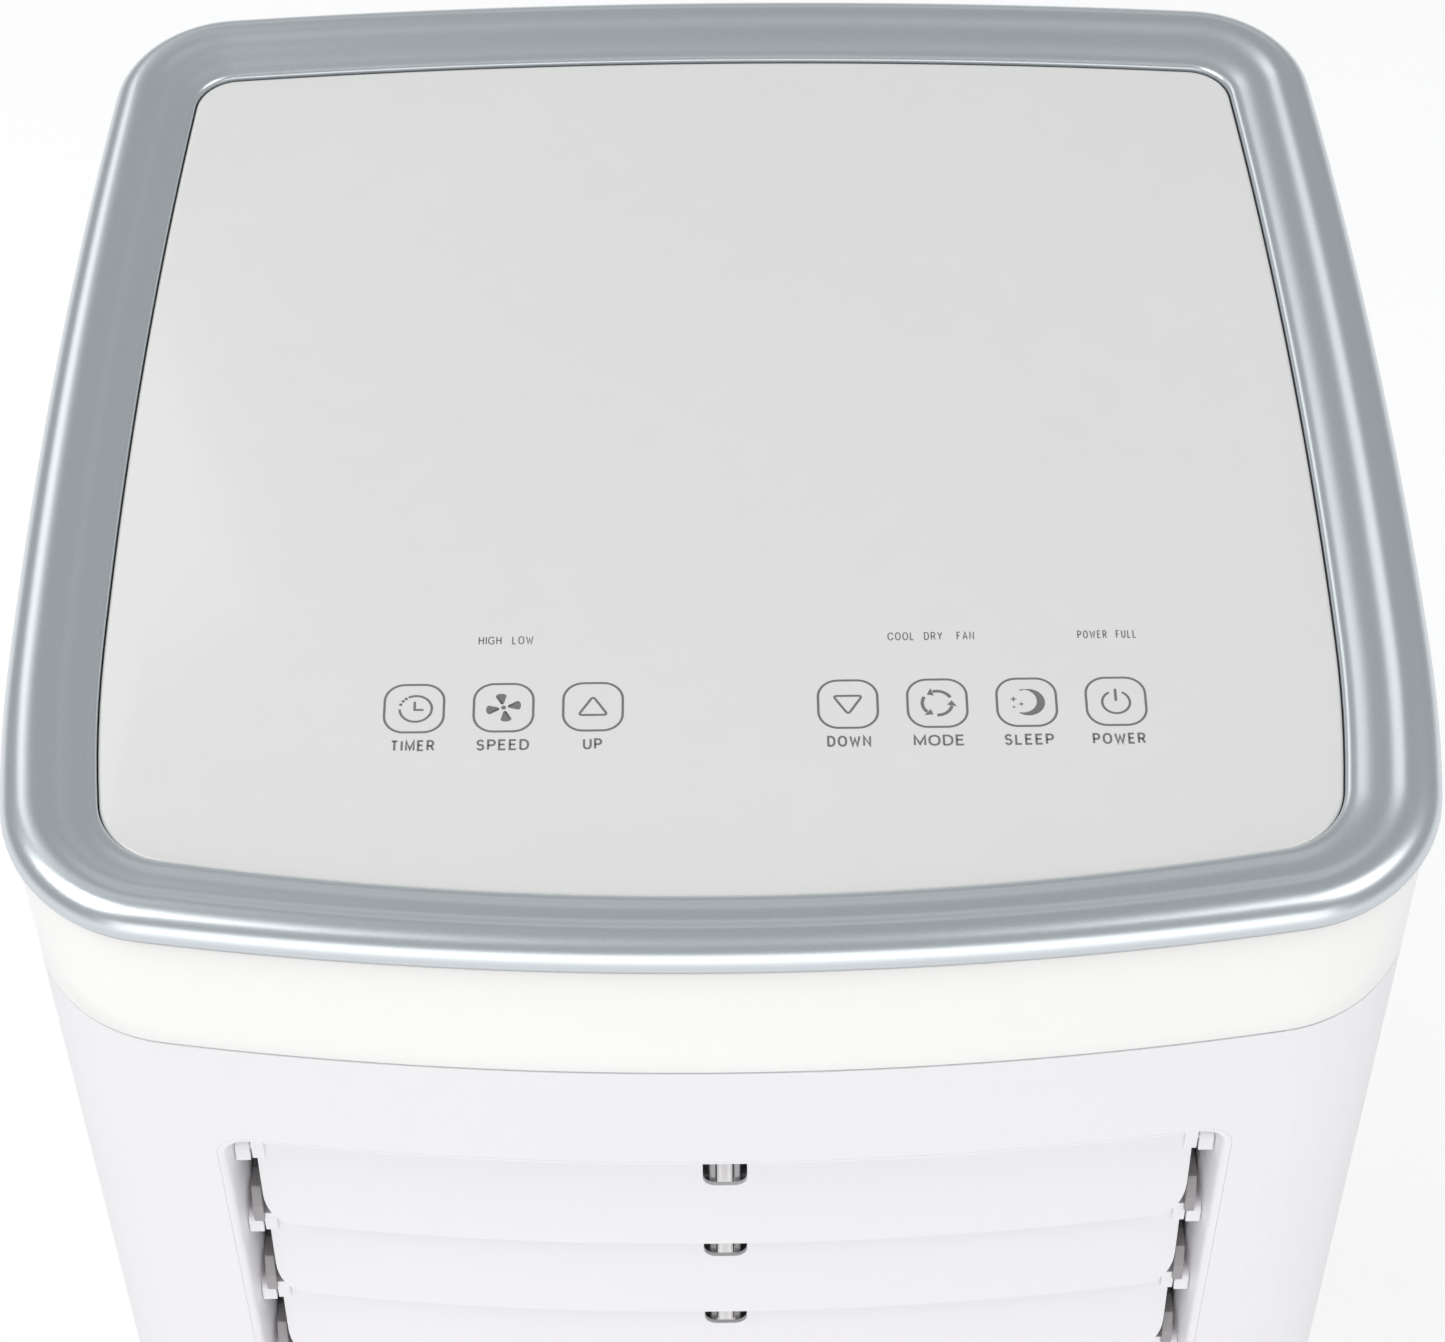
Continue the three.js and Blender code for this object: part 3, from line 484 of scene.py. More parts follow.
def soften(obj, width, segments=2, thickness=None):
    """Thickens a sheet inward if asked, rounds its edges, and keeps the result as the mesh."""
    if thickness:
        solid = obj.modifiers.new("thickness", "SOLIDIFY")
        solid.thickness = thickness * MM
        solid.offset = -1
        solid.use_even_offset = True
    if width:
        round_over = obj.modifiers.new("edges", "BEVEL")
        round_over.width = width * MM
        round_over.segments = segments
        round_over.limit_method = "ANGLE"
        round_over.angle_limit = math.radians(32)
    weigh = obj.modifiers.new("normals", "WEIGHTED_NORMAL")
    weigh.keep_sharp = True
    view_layer = bpy.context.view_layer
    view_layer.update()
    done = bpy.data.meshes.new_from_object(obj.evaluated_get(bpy.context.evaluated_depsgraph_get()))
    done.name = obj.name
    obj.modifiers.clear()
    obj.data = done


def half_outline(arcs, front_y, inset, steps):
    """Points from front centre to back centre along the right side."""
    points = [(0.0, front_y + inset)]
    start = -90.0
    for (radius, end), count in zip(arcs, steps):
        r = radius - inset
        a0, a1 = math.radians(start), math.radians(end)
        x, y = points[-1]
        cx, cy = x - r * math.cos(a0), y - r * math.sin(a0)
        for i in range(1, count + 1):
            a = a0 + (a1 - a0) * i / count
            points.append((cx + r * math.cos(a), cy + r * math.sin(a)))
        start = end
    points[-1] = (0.0, points[-1][1])
    return points


def whole(half):
    return half + [(-x, y) for x, y in reversed(half[1:-1])]


def rim_outline(inset=0.0):
    return whole(half_outline(RIM_ARCS, RIM_FRONT, inset, ARC_STEPS))


def panel_outline(inset=0.0):
    return whole(half_outline(PANEL_ARCS, PANEL_FRONT, inset, ARC_STEPS))


def body_ring(inset, z):
    return [(x, y, z) for x, y in rim_outline(BODY_INSET + inset)]


def loft(rings, wrap=False, cap=(False, False)):
    """Quads between rings that have the same number of points; wrap joins the last ring to the first."""
    count = len(rings[0])
    points = [p for ring in rings for p in ring]
    faces = []
    spans = len(rings) if wrap else len(rings) - 1
    for row in range(spans):
        a, b = row * count, ((row + 1) % len(rings)) * count
        for i in range(count):
            j = (i + 1) % count
            faces.append((a + i, a + j, b + j, b + i))
    if cap[0]:
        faces.append(tuple(range(count)))
    if cap[1]:
        faces.append(tuple((len(rings) - 1) * count + i for i in range(count)))
    return points, faces


def rounded_loop(u0, u1, v0, v1, r, counts):
    """A rounded rectangle in u and v, anticlockwise from its lower left corner. counts gives the
    segments on the lower, right, upper and left side; each side starts and ends in mid corner."""
    centres = [(u1 - r, v0 + r), (u1 - r, v1 - r), (u0 + r, v1 - r), (u0 + r, v0 + r)]
    before = [centres[3], centres[0], centres[1], centres[2]]
    loop = []
    is_round = max(u1 - u0, v1 - v0) < 2 * r + 0.2
    for side in range(4):
        n = counts[side]
        if is_round:
            turns = [math.radians(225 + 90 * (side + i / n)) for i in range(n)]
            loop += [(centres[0][0] + r * math.cos(a), centres[0][1] + r * math.sin(a)) for a in turns]
            continue
        k = max(1, min(7, n // 3))
        start_angle = math.radians(225 + 90 * side)
        (ax, ay), (bx, by) = before[side], centres[side]
        for i in range(n):
            if i < k:
                a = start_angle + math.radians(45) * i / k
                loop.append((ax + r * math.cos(a), ay + r * math.sin(a)))
            elif i <= n - k:
                t = (i - k) / (n - 2 * k)
                a = math.radians(270 + 90 * side)
                loop.append((ax + (bx - ax) * t + r * math.cos(a), ay + (by - ay) * t + r * math.sin(a)))
            else:
                a = math.radians(270 + 90 * side) + math.radians(45) * (i - (n - k)) / k
                loop.append((bx + r * math.cos(a), by + r * math.sin(a)))
    return loop


def lathe(profile, sides, axis="z", centre=(0, 0, 0)):
    """Turns (radius, height) pairs about an axis through centre. A profile that starts and ends off
    the axis closes on itself."""
    points, faces = [], []
    rows = len(profile)
    for i in range(sides):
        a = 2 * math.pi * i / sides
        for r, h in profile:
            u, v = r * math.cos(a), r * math.sin(a)
            offset = {"z": (u, v, h), "y": (u, h, v), "x": (h, u, v)}[axis]
            points.append(tuple(c + o for c, o in zip(centre, offset)))
    closed = profile[0][0] > 0.01
    for i in range(sides):
        a, b = i * rows, ((i + 1) % sides) * rows
        for k in range(rows if closed else rows - 1):
            k2 = (k + 1) % rows
            faces.append((a + k, b + k, b + k2, a + k2))
    return points, faces


def join_parts(parts):
    points, faces = [], []
    for part_points, part_faces in parts:
        shift = len(points)
        points += list(part_points)
        faces += [tuple(i + shift for i in face) for face in part_faces]
    return points, faces


def brick(x0, x1, y0, y1, z0, z1):
    points = [(x, y, z) for z in (z0, z1) for y in (y0, y1) for x in (x0, x1)]
    faces = [(0, 2, 3, 1), (4, 5, 7, 6), (0, 1, 5, 4), (2, 6, 7, 3), (0, 4, 6, 2), (1, 3, 7, 5)]
    return points, faces


def slab(outline, to_point, low, high):
    """A plate: a flat outline given by (u, v) pairs, thickened between two values of w."""
    count = len(outline)
    points = [to_point(u, v, low) for u, v in outline] + [to_point(u, v, high) for u, v in outline]
    faces = [tuple(reversed(range(count))), tuple(range(count, 2 * count))]
    faces += [(i, (i + 1) % count, count + (i + 1) % count, count + i) for i in range(count)]
    return points, faces


# ------------------------------------------------------------------ the upright wall of the body
class BodyWall:
    """The side of the body. s is the distance along its outline from front centre, + to the right."""

    def __init__(self):
        self.spans = []
        x, y, start, travelled = 0.0, RIM_FRONT + BODY_INSET, -90.0, 0.0
        for radius, end in RIM_ARCS:
            r = radius - BODY_INSET
            a0, a1 = math.radians(start), math.radians(end)
            cx, cy = x - r * math.cos(a0), y - r * math.sin(a0)
            self.spans.append((travelled, r, a0, cx, cy))
            travelled += r * (a1 - a0)
            x, y, start = cx + r * math.cos(a1), cy + r * math.sin(a1), end
        self.half = travelled
        self.widest = self.spans[3][0]

    def at(self, s, z, sink=0.0):
        """The point at s and height z, moved inward by sink."""
        side = -1.0 if s < 0 else 1.0
        d = min(abs(s), self.half)
        from_s, r, a0, cx, cy = [span for span in self.spans if span[0] <= d][-1]
        a = a0 + (d - from_s) / r
        x = cx + (r - sink) * math.cos(a)
        if d >= self.half - 1e-6:
            x = 0.0
        return (side * x, cy + (r - sink) * math.sin(a), z)

    def find(self, low, high, test):
        for _ in range(50):
            middle = (low + high) / 2
            low, high = (middle, high) if test(self.at(middle, 0)) else (low, middle)
        return (low + high) / 2

    def front_x(self, x):
        return self.find(0, self.widest, lambda p: p[0] < x)

    def back_x(self, x):
        return self.find(self.widest, self.half, lambda p: p[0] > x)

    def at_y(self, y):
        return self.find(0, self.half, lambda p: p[1] < y)


BODY = BodyWall()


def fill(marks, fine_spans, coarse, fine):
    """Grid lines through the marks, closer together inside the fine spans."""
    marks = sorted(set(round(m, 4) for m in marks))
    lines = [marks[0]]
    for a, b in zip(marks, marks[1:]):
        inside = any(low - 1e-3 <= a and b <= high + 1e-3 for low, high in fine_spans)
        count = max(1, math.ceil((b - a) / (fine if inside else coarse)))
        lines += [a + (b - a) * i / count for i in range(1, count + 1)]
    return lines


def wall_sheet(place, s0, s1, z0, z1, holes, step=3.0):
    """A sheet on the wall with rounded holes. Each hole is its patch (s0, s1, z0, z1), its own
    rectangle inside the patch and its corner radius. place(s, z) gives the point."""
    s_lines = fill([s0, s1] + [v for patch, _, _ in holes for v in patch[:2]], [], step, step)
    z_lines = fill(
        [z0, z1] + [v for patch, _, _ in holes for v in patch[2:]],
        [patch[2:] for patch, _, _ in holes], 24.0, 4.0,
    )
    points, faces, known = [], [], {}

    def vertex(s, z):
        key = (round(s, 3), round(z, 3))
        if key not in known:
            known[key] = len(points)
            points.append(place(s, z))
        return known[key]

    def inside(s, z):
        return any(p[0] < s < p[1] and p[2] < z < p[3] for p, _, _ in holes)

    for a, b in zip(s_lines, s_lines[1:]):
        for c, d in zip(z_lines, z_lines[1:]):
            if not inside((a + b) / 2, (c + d) / 2):
                faces.append((vertex(a, c), vertex(b, c), vertex(b, d), vertex(a, d)))
    for patch, hole, radius in holes:
        in_s = [s for s in s_lines if patch[0] - 1e-3 <= s <= patch[1] + 1e-3]
        in_z = [z for z in z_lines if patch[2] - 1e-3 <= z <= patch[3] + 1e-3]
        border = [(s, in_z[0]) for s in in_s[:-1]] + [(in_s[-1], z) for z in in_z[:-1]]
        border += [(s, in_z[-1]) for s in reversed(in_s[1:])] + [(in_s[0], z) for z in reversed(in_z[1:])]
        counts = [len(in_s) - 1, len(in_z) - 1] * 2
        loop = rounded_loop(*hole, radius, counts)
        rows = [border]
        for t in (0.35, 0.7, 0.9, 1.0):
            rows.append([(a[0] + (b[0] - a[0]) * t, a[1] + (b[1] - a[1]) * t) for a, b in zip(border, loop)])
        for outer, inner in zip(rows, rows[1:]):
            for i in range(len(border)):
                j = (i + 1) % len(border)
                faces.append((vertex(*outer[i]), vertex(*outer[j]), vertex(*inner[j]), vertex(*inner[i])))
    return points, faces


# ------------------------------------------------------------------ rim, panel and top cover
RIM_WIDTH = 21.0
RIM_CREST = 6.2
# Slope of the rim's inner side: distance in from the widest line, and fall per unit of width there.
RIM_SLOPES = ((RIM_CREST, 0.0), (9.8, -0.40), (13.2, -0.12), (17.8, -0.36), (19.6, -0.16))


def rim_section():
    """Distance in from the widest line and height above the panel, from the underside round to the
    panel's edge."""
    section = []
    for k in range(6, 0, -1):
        a = math.radians(13 * k)
        section.append((2.4 * (1 - math.cos(a)), -1.2 - 3.2 * math.sin(a)))
    for k in range(17):
        a = math.radians(90 * k / 16)
        section.append((RIM_CREST * (1 - math.cos(a)), -1.2 + 5.7 * math.sin(a)))
    d, h = section[-1]
    for (d0, slope0), (d1, slope1) in zip(RIM_SLOPES, RIM_SLOPES[1:]):
        steps = 9
        for k in range(1, steps + 1):
            t = (k - 0.5) / steps
            slope = slope0 + (slope1 - slope0) * t * t * (3 - 2 * t)
            h += slope * (d1 - d0) / steps
            d = d0 + (d1 - d0) * k / steps
            section.append((d, h))
    for k in range(1, 7):
        a = math.radians(15 * k)
        section.append((d + 1.3 * math.sin(a), h - 0.2 * math.sin(a) - 0.9 * (1 - math.cos(a))))
    return section + [(RIM_WIDTH, -1.7), (19.0, -4.6)]


def make_rim():
    outer, inner = rim_outline(), panel_outline(-0.2)
    rings = []
    for d, h in rim_section():
        u = d / RIM_WIDTH
        z = min(PANEL_TOP + h, RIM_HIGH.z)
        rings.append([(a[0] + (b[0] - a[0]) * u, a[1] + (b[1] - a[1]) * u, z) for a, b in zip(outer, inner)])
    obj = mesh_object("rim", *loft(rings, wrap=True))
    tidy(obj, 50)
    finish_piece(obj, "cabinet", "rim_silver", ["top_rim"])


def make_panel():
    edge = (
        (0, PANEL_LOW.z), (0, PANEL_TOP - 0.55), (0.12, PANEL_TOP - 0.3), (0.45, PANEL_TOP - 0.08),
        (0.95, PANEL_TOP),
    )
    rings = [[(x, y, z) for x, y in panel_outline(inset)] for inset, z in edge]
    obj = mesh_object("touch_panel", *loft(rings, cap=(True, True)))
    tidy(obj, 50)
    finish_piece(obj, "cabinet", "panel_gloss", ["control_panel"])


def make_cover():
    deck = PANEL_LOW.z - 2.3
    sections = (
        (2.5, SEAM_Z + 0.3), (0.7, SEAM_Z), (0.25, SEAM_Z + 0.1), (0, SEAM_Z + 0.5), (0, SEAM_Z + 14),
        (0, deck - 14), (0, deck - 1.2), (0.35, deck - 0.35), (1.2, deck), (30, deck), (30, deck - 2.5),
        (2.5, deck - 2.5),
    )
    obj = mesh_object("top_cover_skin", *loft([body_ring(i, z) for i, z in sections], wrap=True))
    tidy(obj, 50)
    finish_piece(obj, "cabinet", "cover_white", ["top_cover"])


# ------------------------------------------------------------------ legends on the touch panel
KEY_ROW_Y = RIM_LOW.y + 70.0
KEY_SIDE = 13.85
# Word, centre across the panel and width.
KEYS = (("TIMER", -68.5, 9.8), ("SPEED", -48.5, 11.8), ("UP", -28.5, 4.3), ("DOWN", 28.5, 9.8),
        ("MODE", 48.5, 11.4), ("SLEEP", 68.5, 11.1), ("POWER", 88.5, 11.8))
LAMPS = (("HIGH", -52.0, 5.2), ("LOW", -44.6, 4.8), ("COOL", 41.1, 5.9), ("DRY", 48.4, 4.2),
         ("FAN", 55.7, 4.0), ("POWER", 84.4, 6.7), ("FULL", 92.1, 4.6))
INK_LOW = PANEL_TOP + 0.01
INK_HIGH = PANEL_TOP + 0.035
LINE = 0.55                      # width of the printed lines of keys and symbols


def ink(outline):
    return slab(outline, lambda u, v, w: (u, v, w), INK_LOW, INK_HIGH)


def stroke(path, width, closed=False):
    """A printed line of even width along a path in the panel's plane."""
    path = [Vector((p[0], p[1])) for p in path]
    count = len(path)
    left, right = [], []
    for i, point in enumerate(path):
        before = path[i - 1] if (i or closed) else point
        after = path[(i + 1) % count] if (i < count - 1 or closed) else point
        d_in = (point - before).normalized() if (point - before).length else (after - point).normalized()
        d_out = (after - point).normalized() if (after - point).length else d_in
        normal = Vector((-(d_in.y + d_out.y), d_in.x + d_out.x)).normalized()
        half = width / 2 / max(0.4, normal.dot(Vector((-d_out.y, d_out.x))))
        left.append(point + normal * half)
        right.append(point - normal * half)
    points = [(p.x, p.y, z) for z in (INK_LOW, INK_HIGH) for row in (left, right) for p in row]
    faces = []
    spans = count if closed else count - 1
    low_l, low_r, top_l, top_r = 0, count, 2 * count, 3 * count
    for i in range(spans):
        j = (i + 1) % count
        faces += [(top_r + i, top_r + j, top_l + j, top_l + i), (low_l + i, low_l + j, low_r + j, low_r + i),
                  (top_l + i, top_l + j, low_l + j, low_l + i), (low_r + i, low_r + j, top_r + j, top_r + i)]
    if not closed:
        for i in (0, count - 1):
            faces.append((low_l + i, low_r + i, top_r + i, top_l + i))
    return points, faces


def polar(cx, cy, r, degrees):
    a = math.radians(degrees)
    return (cx + r * math.cos(a), cy + r * math.sin(a))


def arc(cx, cy, r, start, end, count=24):
    return [polar(cx, cy, r, start + (end - start) * i / count) for i in range(count + 1)]


def dot(cx, cy, r):
    return ink(arc(cx, cy, r, 0, 360, 14)[:-1])


def round_corners(corners, r, count=5):
    """A closed path whose corners are rounded by quadratic curves."""
    path = []
    for i, corner in enumerate(corners):
        here = Vector(corner)
        before, after = Vector(corners[i - 1]), Vector(corners[(i + 1) % len(corners)])
        start = here + (before - here).normalized() * r
        end = here + (after - here).normalized() * r
        for k in range(count + 1):
            t = k / count
            path.append(start * (1 - t) ** 2 + here * 2 * t * (1 - t) + end * t ** 2)
    return path


def icon_timer(x, y):
    """A clock whose ring breaks up into dots."""
    clock = [stroke(arc(x + 0.35, y - 0.1, 3.6, 118, -178, 44), LINE)]
    clock += [dot(*polar(x + 0.35, y - 0.1, 3.6, a), 0.38) for a in (128, 143, 160)]
    return clock + [stroke([(x + 0.1, y + 1.9), (x + 0.1, y - 0.4), (x + 2.1, y - 0.4)], LINE)]


def icon_speed(x, y):
    """Four fan blades about a hub."""
    parts = [dot(x, y, 0.55)]
    blade_path = [(0.95, -0.25), (3.3, -1.5), (3.9, -0.6), (4.0, 0.4), (3.6, 1.1), (1.0, 0.35)]
    rounded = round_corners(blade_path, 0.42, 3)
    for turn in (0, 90, 180, 270):
        cos, sin = polar(0, 0, 1, turn + 14)
        parts.append(ink([(x + p.x * cos - p.y * sin, y + p.x * sin + p.y * cos) for p in rounded]))
    return parts


def icon_arrow(x, y, way):
    corners = [(x - 3.3, y - 2.3 * way), (x + 3.3, y - 2.3 * way), (x, y + 2.9 * way)]
    return [stroke(round_corners(corners, 1.0), LINE, closed=True)]


def icon_mode(x, y):
    """Three arrows that chase round a circle."""
    parts = []
    for start in (28, 148, 268):
        parts.append(stroke(arc(x, y, 3.35, start, start + 78, 14), 0.75))
        head = ((4.45, start + 80), (3.3, start + 105), (2.25, start + 80))
        parts.append(ink([polar(x, y, r, a) for r, a in head]))
    return parts


def icon_sleep(x, y):
    """A crescent and three stars."""
    outer = arc(x + 0.4, y, 3.7, -128, 118, 30)
    inner = arc(x - 0.95, y + 0.35, 3.25, 100, -100, 26)
    parts = [ink(outer + inner)]
    for sx, sy, r in ((-2.9, 0.9, 0.8), (-1.2, -0.5, 0.65), (-2.9, -1.3, 0.45)):
        star = [polar(x + sx, y + sy, r * 0.38 if k % 2 else r, 45 * k + 90) for k in range(8)]
        parts.append(ink(star))
    return parts


def icon_power(x, y):
    return [stroke(arc(x, y - 0.25, 3.1, 118, 422, 36), LINE), stroke([(x, y + 3.5), (x, y + 0.1)], 0.6)]


def bowl(x0, y0, x1, y1, r):
    """A closed letter bowl: a rounded rectangle path."""
    path = rounded_loop(x0, x1, y0, y1, r, [9, 12, 9, 12])
    return path + path[:1]


# Plain capitals as strokes on a grid one unit high: width, then its strokes.
LETTERS = {
    "A": (0.78, [[(0, 0), (0.39, 1), (0.78, 0)], [(0.14, 0.33), (0.64, 0.33)]]),
    "C": (0.74, [[(0.74, 0.3)] + arc(0.38, 0.5, 0.5, -38, -322, 20)[1:-1] + [(0.74, 0.7)]]),
    "D": (0.7, [[(0, 0), (0, 1), (0.32, 1)] + arc(0.28, 0.58, 0.42, 80, 0, 7)
                + arc(0.28, 0.42, 0.42, 0, -80, 7) + [(0.32, 0), (0, 0)]]),
    "E": (0.58, [[(0.58, 0), (0, 0), (0, 1), (0.56, 1)], [(0, 0.53), (0.5, 0.53)]]),
    "F": (0.54, [[(0, 0), (0, 1), (0.54, 1)], [(0, 0.52), (0.46, 0.52)]]),
    "G": (0.78, [arc(0.4, 0.5, 0.5, 42, 322, 20) + [(0.78, 0.16), (0.78, 0.48), (0.45, 0.48)]]),
    "H": (0.68, [[(0, 0), (0, 1)], [(0.68, 0), (0.68, 1)], [(0, 0.53), (0.68, 0.53)]]),
    "I": (0.0, [[(0, 0), (0, 1)]]),
    "L": (0.54, [[(0, 1), (0, 0), (0.54, 0)]]),
    "M": (0.86, [[(0, 0), (0, 1), (0.43, 0.1), (0.86, 1), (0.86, 0)]]),
    "N": (0.7, [[(0, 0), (0, 1), (0.7, 0), (0.7, 1)]]),
    "O": (0.82, [bowl(0, 0, 0.82, 1, 0.4)]),
    "P": (0.62, [[(0, 0), (0, 1), (0.36, 1)] + arc(0.35, 0.73, 0.27, 80, -80, 9)
                 + [(0.36, 0.46), (0, 0.46)]]),
    "R": (0.66, [[(0, 0), (0, 1), (0.38, 1)] + arc(0.37, 0.74, 0.26, 80, -80, 9)
                 + [(0.38, 0.48), (0, 0.48)], [(0.36, 0.48), (0.66, 0)]]),
    "S": (0.62, [arc(0.31, 0.745, 0.255, 20, 250, 14) + arc(0.31, 0.255, 0.27, 75, -160, 14)]),
    "T": (0.66, [[(0, 1), (0.66, 1)], [(0.33, 1), (0.33, 0)]]),
    "U": (0.68, [[(0, 1)] + arc(0.34, 0.34, 0.34, 180, 360, 14) + [(0.68, 1)]]),
    "W": (1.04, [[(0, 1), (0.26, 0), (0.52, 0.78), (0.78, 0), (1.04, 1)]]),
    "Y": (0.72, [[(0, 1), (0.36, 0.46), (0.72, 1)], [(0.36, 0.46), (0.36, 0)]]),
}


def word(text, cx, base_y, cap, width, weight):
    """A printed word of plain capitals of height cap, fitted to a width and centred on cx."""
    inner = cap - weight
    gap = weight + 0.16 * cap
    natural = sum(LETTERS[letter][0] for letter in text) * inner
    squeeze = (width - weight - (len(text) - 1) * gap) / natural
    x = cx - (width - weight) / 2
    parts = []
    for letter in text:
        advance, strokes = LETTERS[letter]
        for path in strokes:
            placed = [(x + u * inner * squeeze, base_y + weight / 2 + v * inner) for u, v in path]
            parts.append(stroke(placed, weight))
        x += advance * inner * squeeze + gap
    return join_parts(parts)


def make_legends():
    icons = (icon_timer, icon_speed, lambda x, y: icon_arrow(x, y, 1), lambda x, y: icon_arrow(x, y, -1),
             icon_mode, icon_sleep, icon_power)
    half = KEY_SIDE / 2 - 0.28
    y = KEY_ROW_Y
    parts = []
    for (_, x, _), icon in zip(KEYS, icons):
        square = rounded_loop(x - half, x + half, y - half, y + half, 4.5, [16] * 4)
        parts.append(stroke(square, LINE, closed=True))
        parts += icon(x, y)
    obj = mesh_object("key_symbols", *join_parts(parts))
    finish_piece(obj, "cabinet", "panel_gloss", material="legend_grey")
    words = [word(text, x, y - 11.88, 3.05, width, 0.5) for text, x, width in KEYS]
    words += [word(text, x, y + 17.95, 2.3, width, 0.28) for text, x, width in LAMPS]
    obj = mesh_object("key_words", *join_parts(words))
    finish_piece(obj, "cabinet", "panel_gloss", material="legend_grey")


# ------------------------------------------------------------------ front and rear shells
OUTLET_HALF = FRAME_HIGH.x + 0.3
OUTLET_Z = (FRAME_LOW.z - 0.3, FRAME_HIGH.z + 0.3)
OUTLET_CORNER = 8.0


def patch_hole(s_mid, s_half, z0, z1, radius, margin):
    """A hole centred on s_mid, with a margin of wall round it."""
    hole = (s_mid - s_half, s_mid + s_half, z0, z1)
    return ((hole[0] - margin, hole[1] + margin, z0 - margin, z1 + margin), hole, radius)


def make_front_shell():
    edge = BODY.at_y(SHELL_HIGH.y)
    hole = patch_hole(0, BODY.front_x(OUTLET_HALF), *OUTLET_Z, OUTLET_CORNER, 14)
    sheet = wall_sheet(BODY.at, -edge, edge, SHELL_LOW.z, SHELL_HIGH.z, [hole])
    obj = mesh_object("front_panel", *sheet)
    soften(obj, 0.12, 2, WALL)
    finish_piece(obj, "cabinet", "shell_white", ["front_shell"])


def back_place(s, z, sink=0.0):
    """As BODY.at, but s is 0 at the back centre and grows towards +X."""
    side = 1.0 if s >= 0 else -1.0
    x, y, z = BODY.at(BODY.half - abs(s), z, sink)
    return (side * x, y, z)


def back_s(x):
    return BODY.half - BODY.back_x(abs(x)) if abs(x) > 1e-6 else 0.0


def signed_back_s(x):
    return math.copysign(back_s(x), x)


UPPER_LOW, UPPER_HIGH = box_mm("filter_cover")
LOWER_LOW, LOWER_HIGH = box_mm("condenser_grille")
COLLAR_LOW, COLLAR_HIGH = box_mm("exhaust_collar")
GRIP_LOW, GRIP_HIGH = box_mm("handle_cup_right")
FLANGE_R = (COLLAR_HIGH.x - COLLAR_LOW.x) / 2
EXHAUST_Z = (COLLAR_HIGH.z + COLLAR_LOW.z) / 2
BORE_R = FLANGE_R - 8


def port_centre(node):
    low, high = box_mm(node)
    return (low.x + high.x) / 2, (low.z + high.z) / 2, low, high


def make_rear_shell():
    edge = BODY.half - BODY.at_y(REAR_LOW.y)
    holes = [
        patch_hole(0, back_s(UPPER_HIGH.x) + 0.4, UPPER_LOW.z - 0.4, UPPER_HIGH.z + 0.4, 5, 6),
        patch_hole(0, back_s(LOWER_HIGH.x) + 0.4, LOWER_LOW.z - 0.4, LOWER_HIGH.z + 0.4, 5, 2.4),
        patch_hole(0, BORE_R + 2.6, EXHAUST_Z - BORE_R - 2.6, EXHAUST_Z + BORE_R + 2.6, BORE_R + 2.59, 9),
    ]
    for node in ("upper_drain_cap", "lower_drain_cap", "cord_gland"):
        x, z, _, _ = port_centre(node)
        holes.append(patch_hole(signed_back_s(x), 6.9, z - 6.9, z + 6.9, 6.89, 3.4))
    for side in (-1, 1):
        s_a, s_b = (BODY.half - BODY.at_y(y) for y in (GRIP_LOW.y, GRIP_HIGH.y))
        middle, half = (s_a + s_b) / 2, abs(s_a - s_b) / 2
        holes.append(patch_hole(side * middle, half + 0.2, GRIP_LOW.z - 0.2, GRIP_HIGH.z + 0.2, 9, 7))
    points, faces = wall_sheet(back_place, -edge, edge, REAR_LOW.z, REAR_HIGH.z, holes)
    obj = mesh_object("rear_housing", points, [tuple(reversed(face)) for face in faces])
    soften(obj, 0.45, 3, WALL)
    finish_piece(obj, "cabinet", "shell_white", ["rear_shell"])


def make_base():
    z0, z1 = BASE_LOW.z, BASE_HIGH.z
    sections = (
        (2.5, z0 + 2.5), (2.5, z1), (0.5, z1), (0.15, z1 - 0.15), (0, z1 - 0.5), (0, z0 + 7),
        (0.5, z0 + 3.5), (1.8, z0 + 1.3), (4, z0 + 0.25), (7, z0),
    )
    obj = mesh_object("base_tray", *loft([body_ring(i, z) for i, z in sections], cap=(True, True)))
    tidy(obj, 45)
    finish_piece(obj, "cabinet", "shell_white", ["base_pan"])


# ------------------------------------------------------------------ air outlet and louver
FRAME_SIDE = 113.4
FRAME_CEILING = 547.0
FRAME_FLOOR = 364.0
MOUTH_Y = -128.0
MOUTH_COUNTS = (60, 40, 60, 40)
BLADES = range(1, 6)


def blade_pivot(k):
    return Vector(HINGES[f"blade_{k}_tilt"]["pos_m"]) / MM


def side_span(side, near, far):
    """Two distances from the middle as x values on one side, lowest first."""
    return sorted((side * near, side * far))


def upright_plate(pivot, outline, x0, x1):
    """A plate square to X, whose outline is in y and z from a pivot."""
    return slab(outline, lambda u, v, w: (w, pivot.y + u, pivot.z + v), x0, x1)


def mouth_ring(half, z0, z1, r, y=None, sink=0.0):
    """A rounded rectangle ring; with no y it lies on the body's front face, moved in by sink."""
    ring = []
    for x, z in rounded_loop(-half, half, z0, z1, r, MOUTH_COUNTS):
        if y is None:
            s = BODY.front_x(abs(x)) if abs(x) > 1e-6 else 0.0
            ring.append((x, BODY.at(s, z, sink)[1], z))
        else:
            ring.append((x, y, z))
    return ring


def blend_rings(ring_a, ring_b, t):
    return [tuple(a + (b - a) * t for a, b in zip(p, q)) for p, q in zip(ring_a, ring_b)]


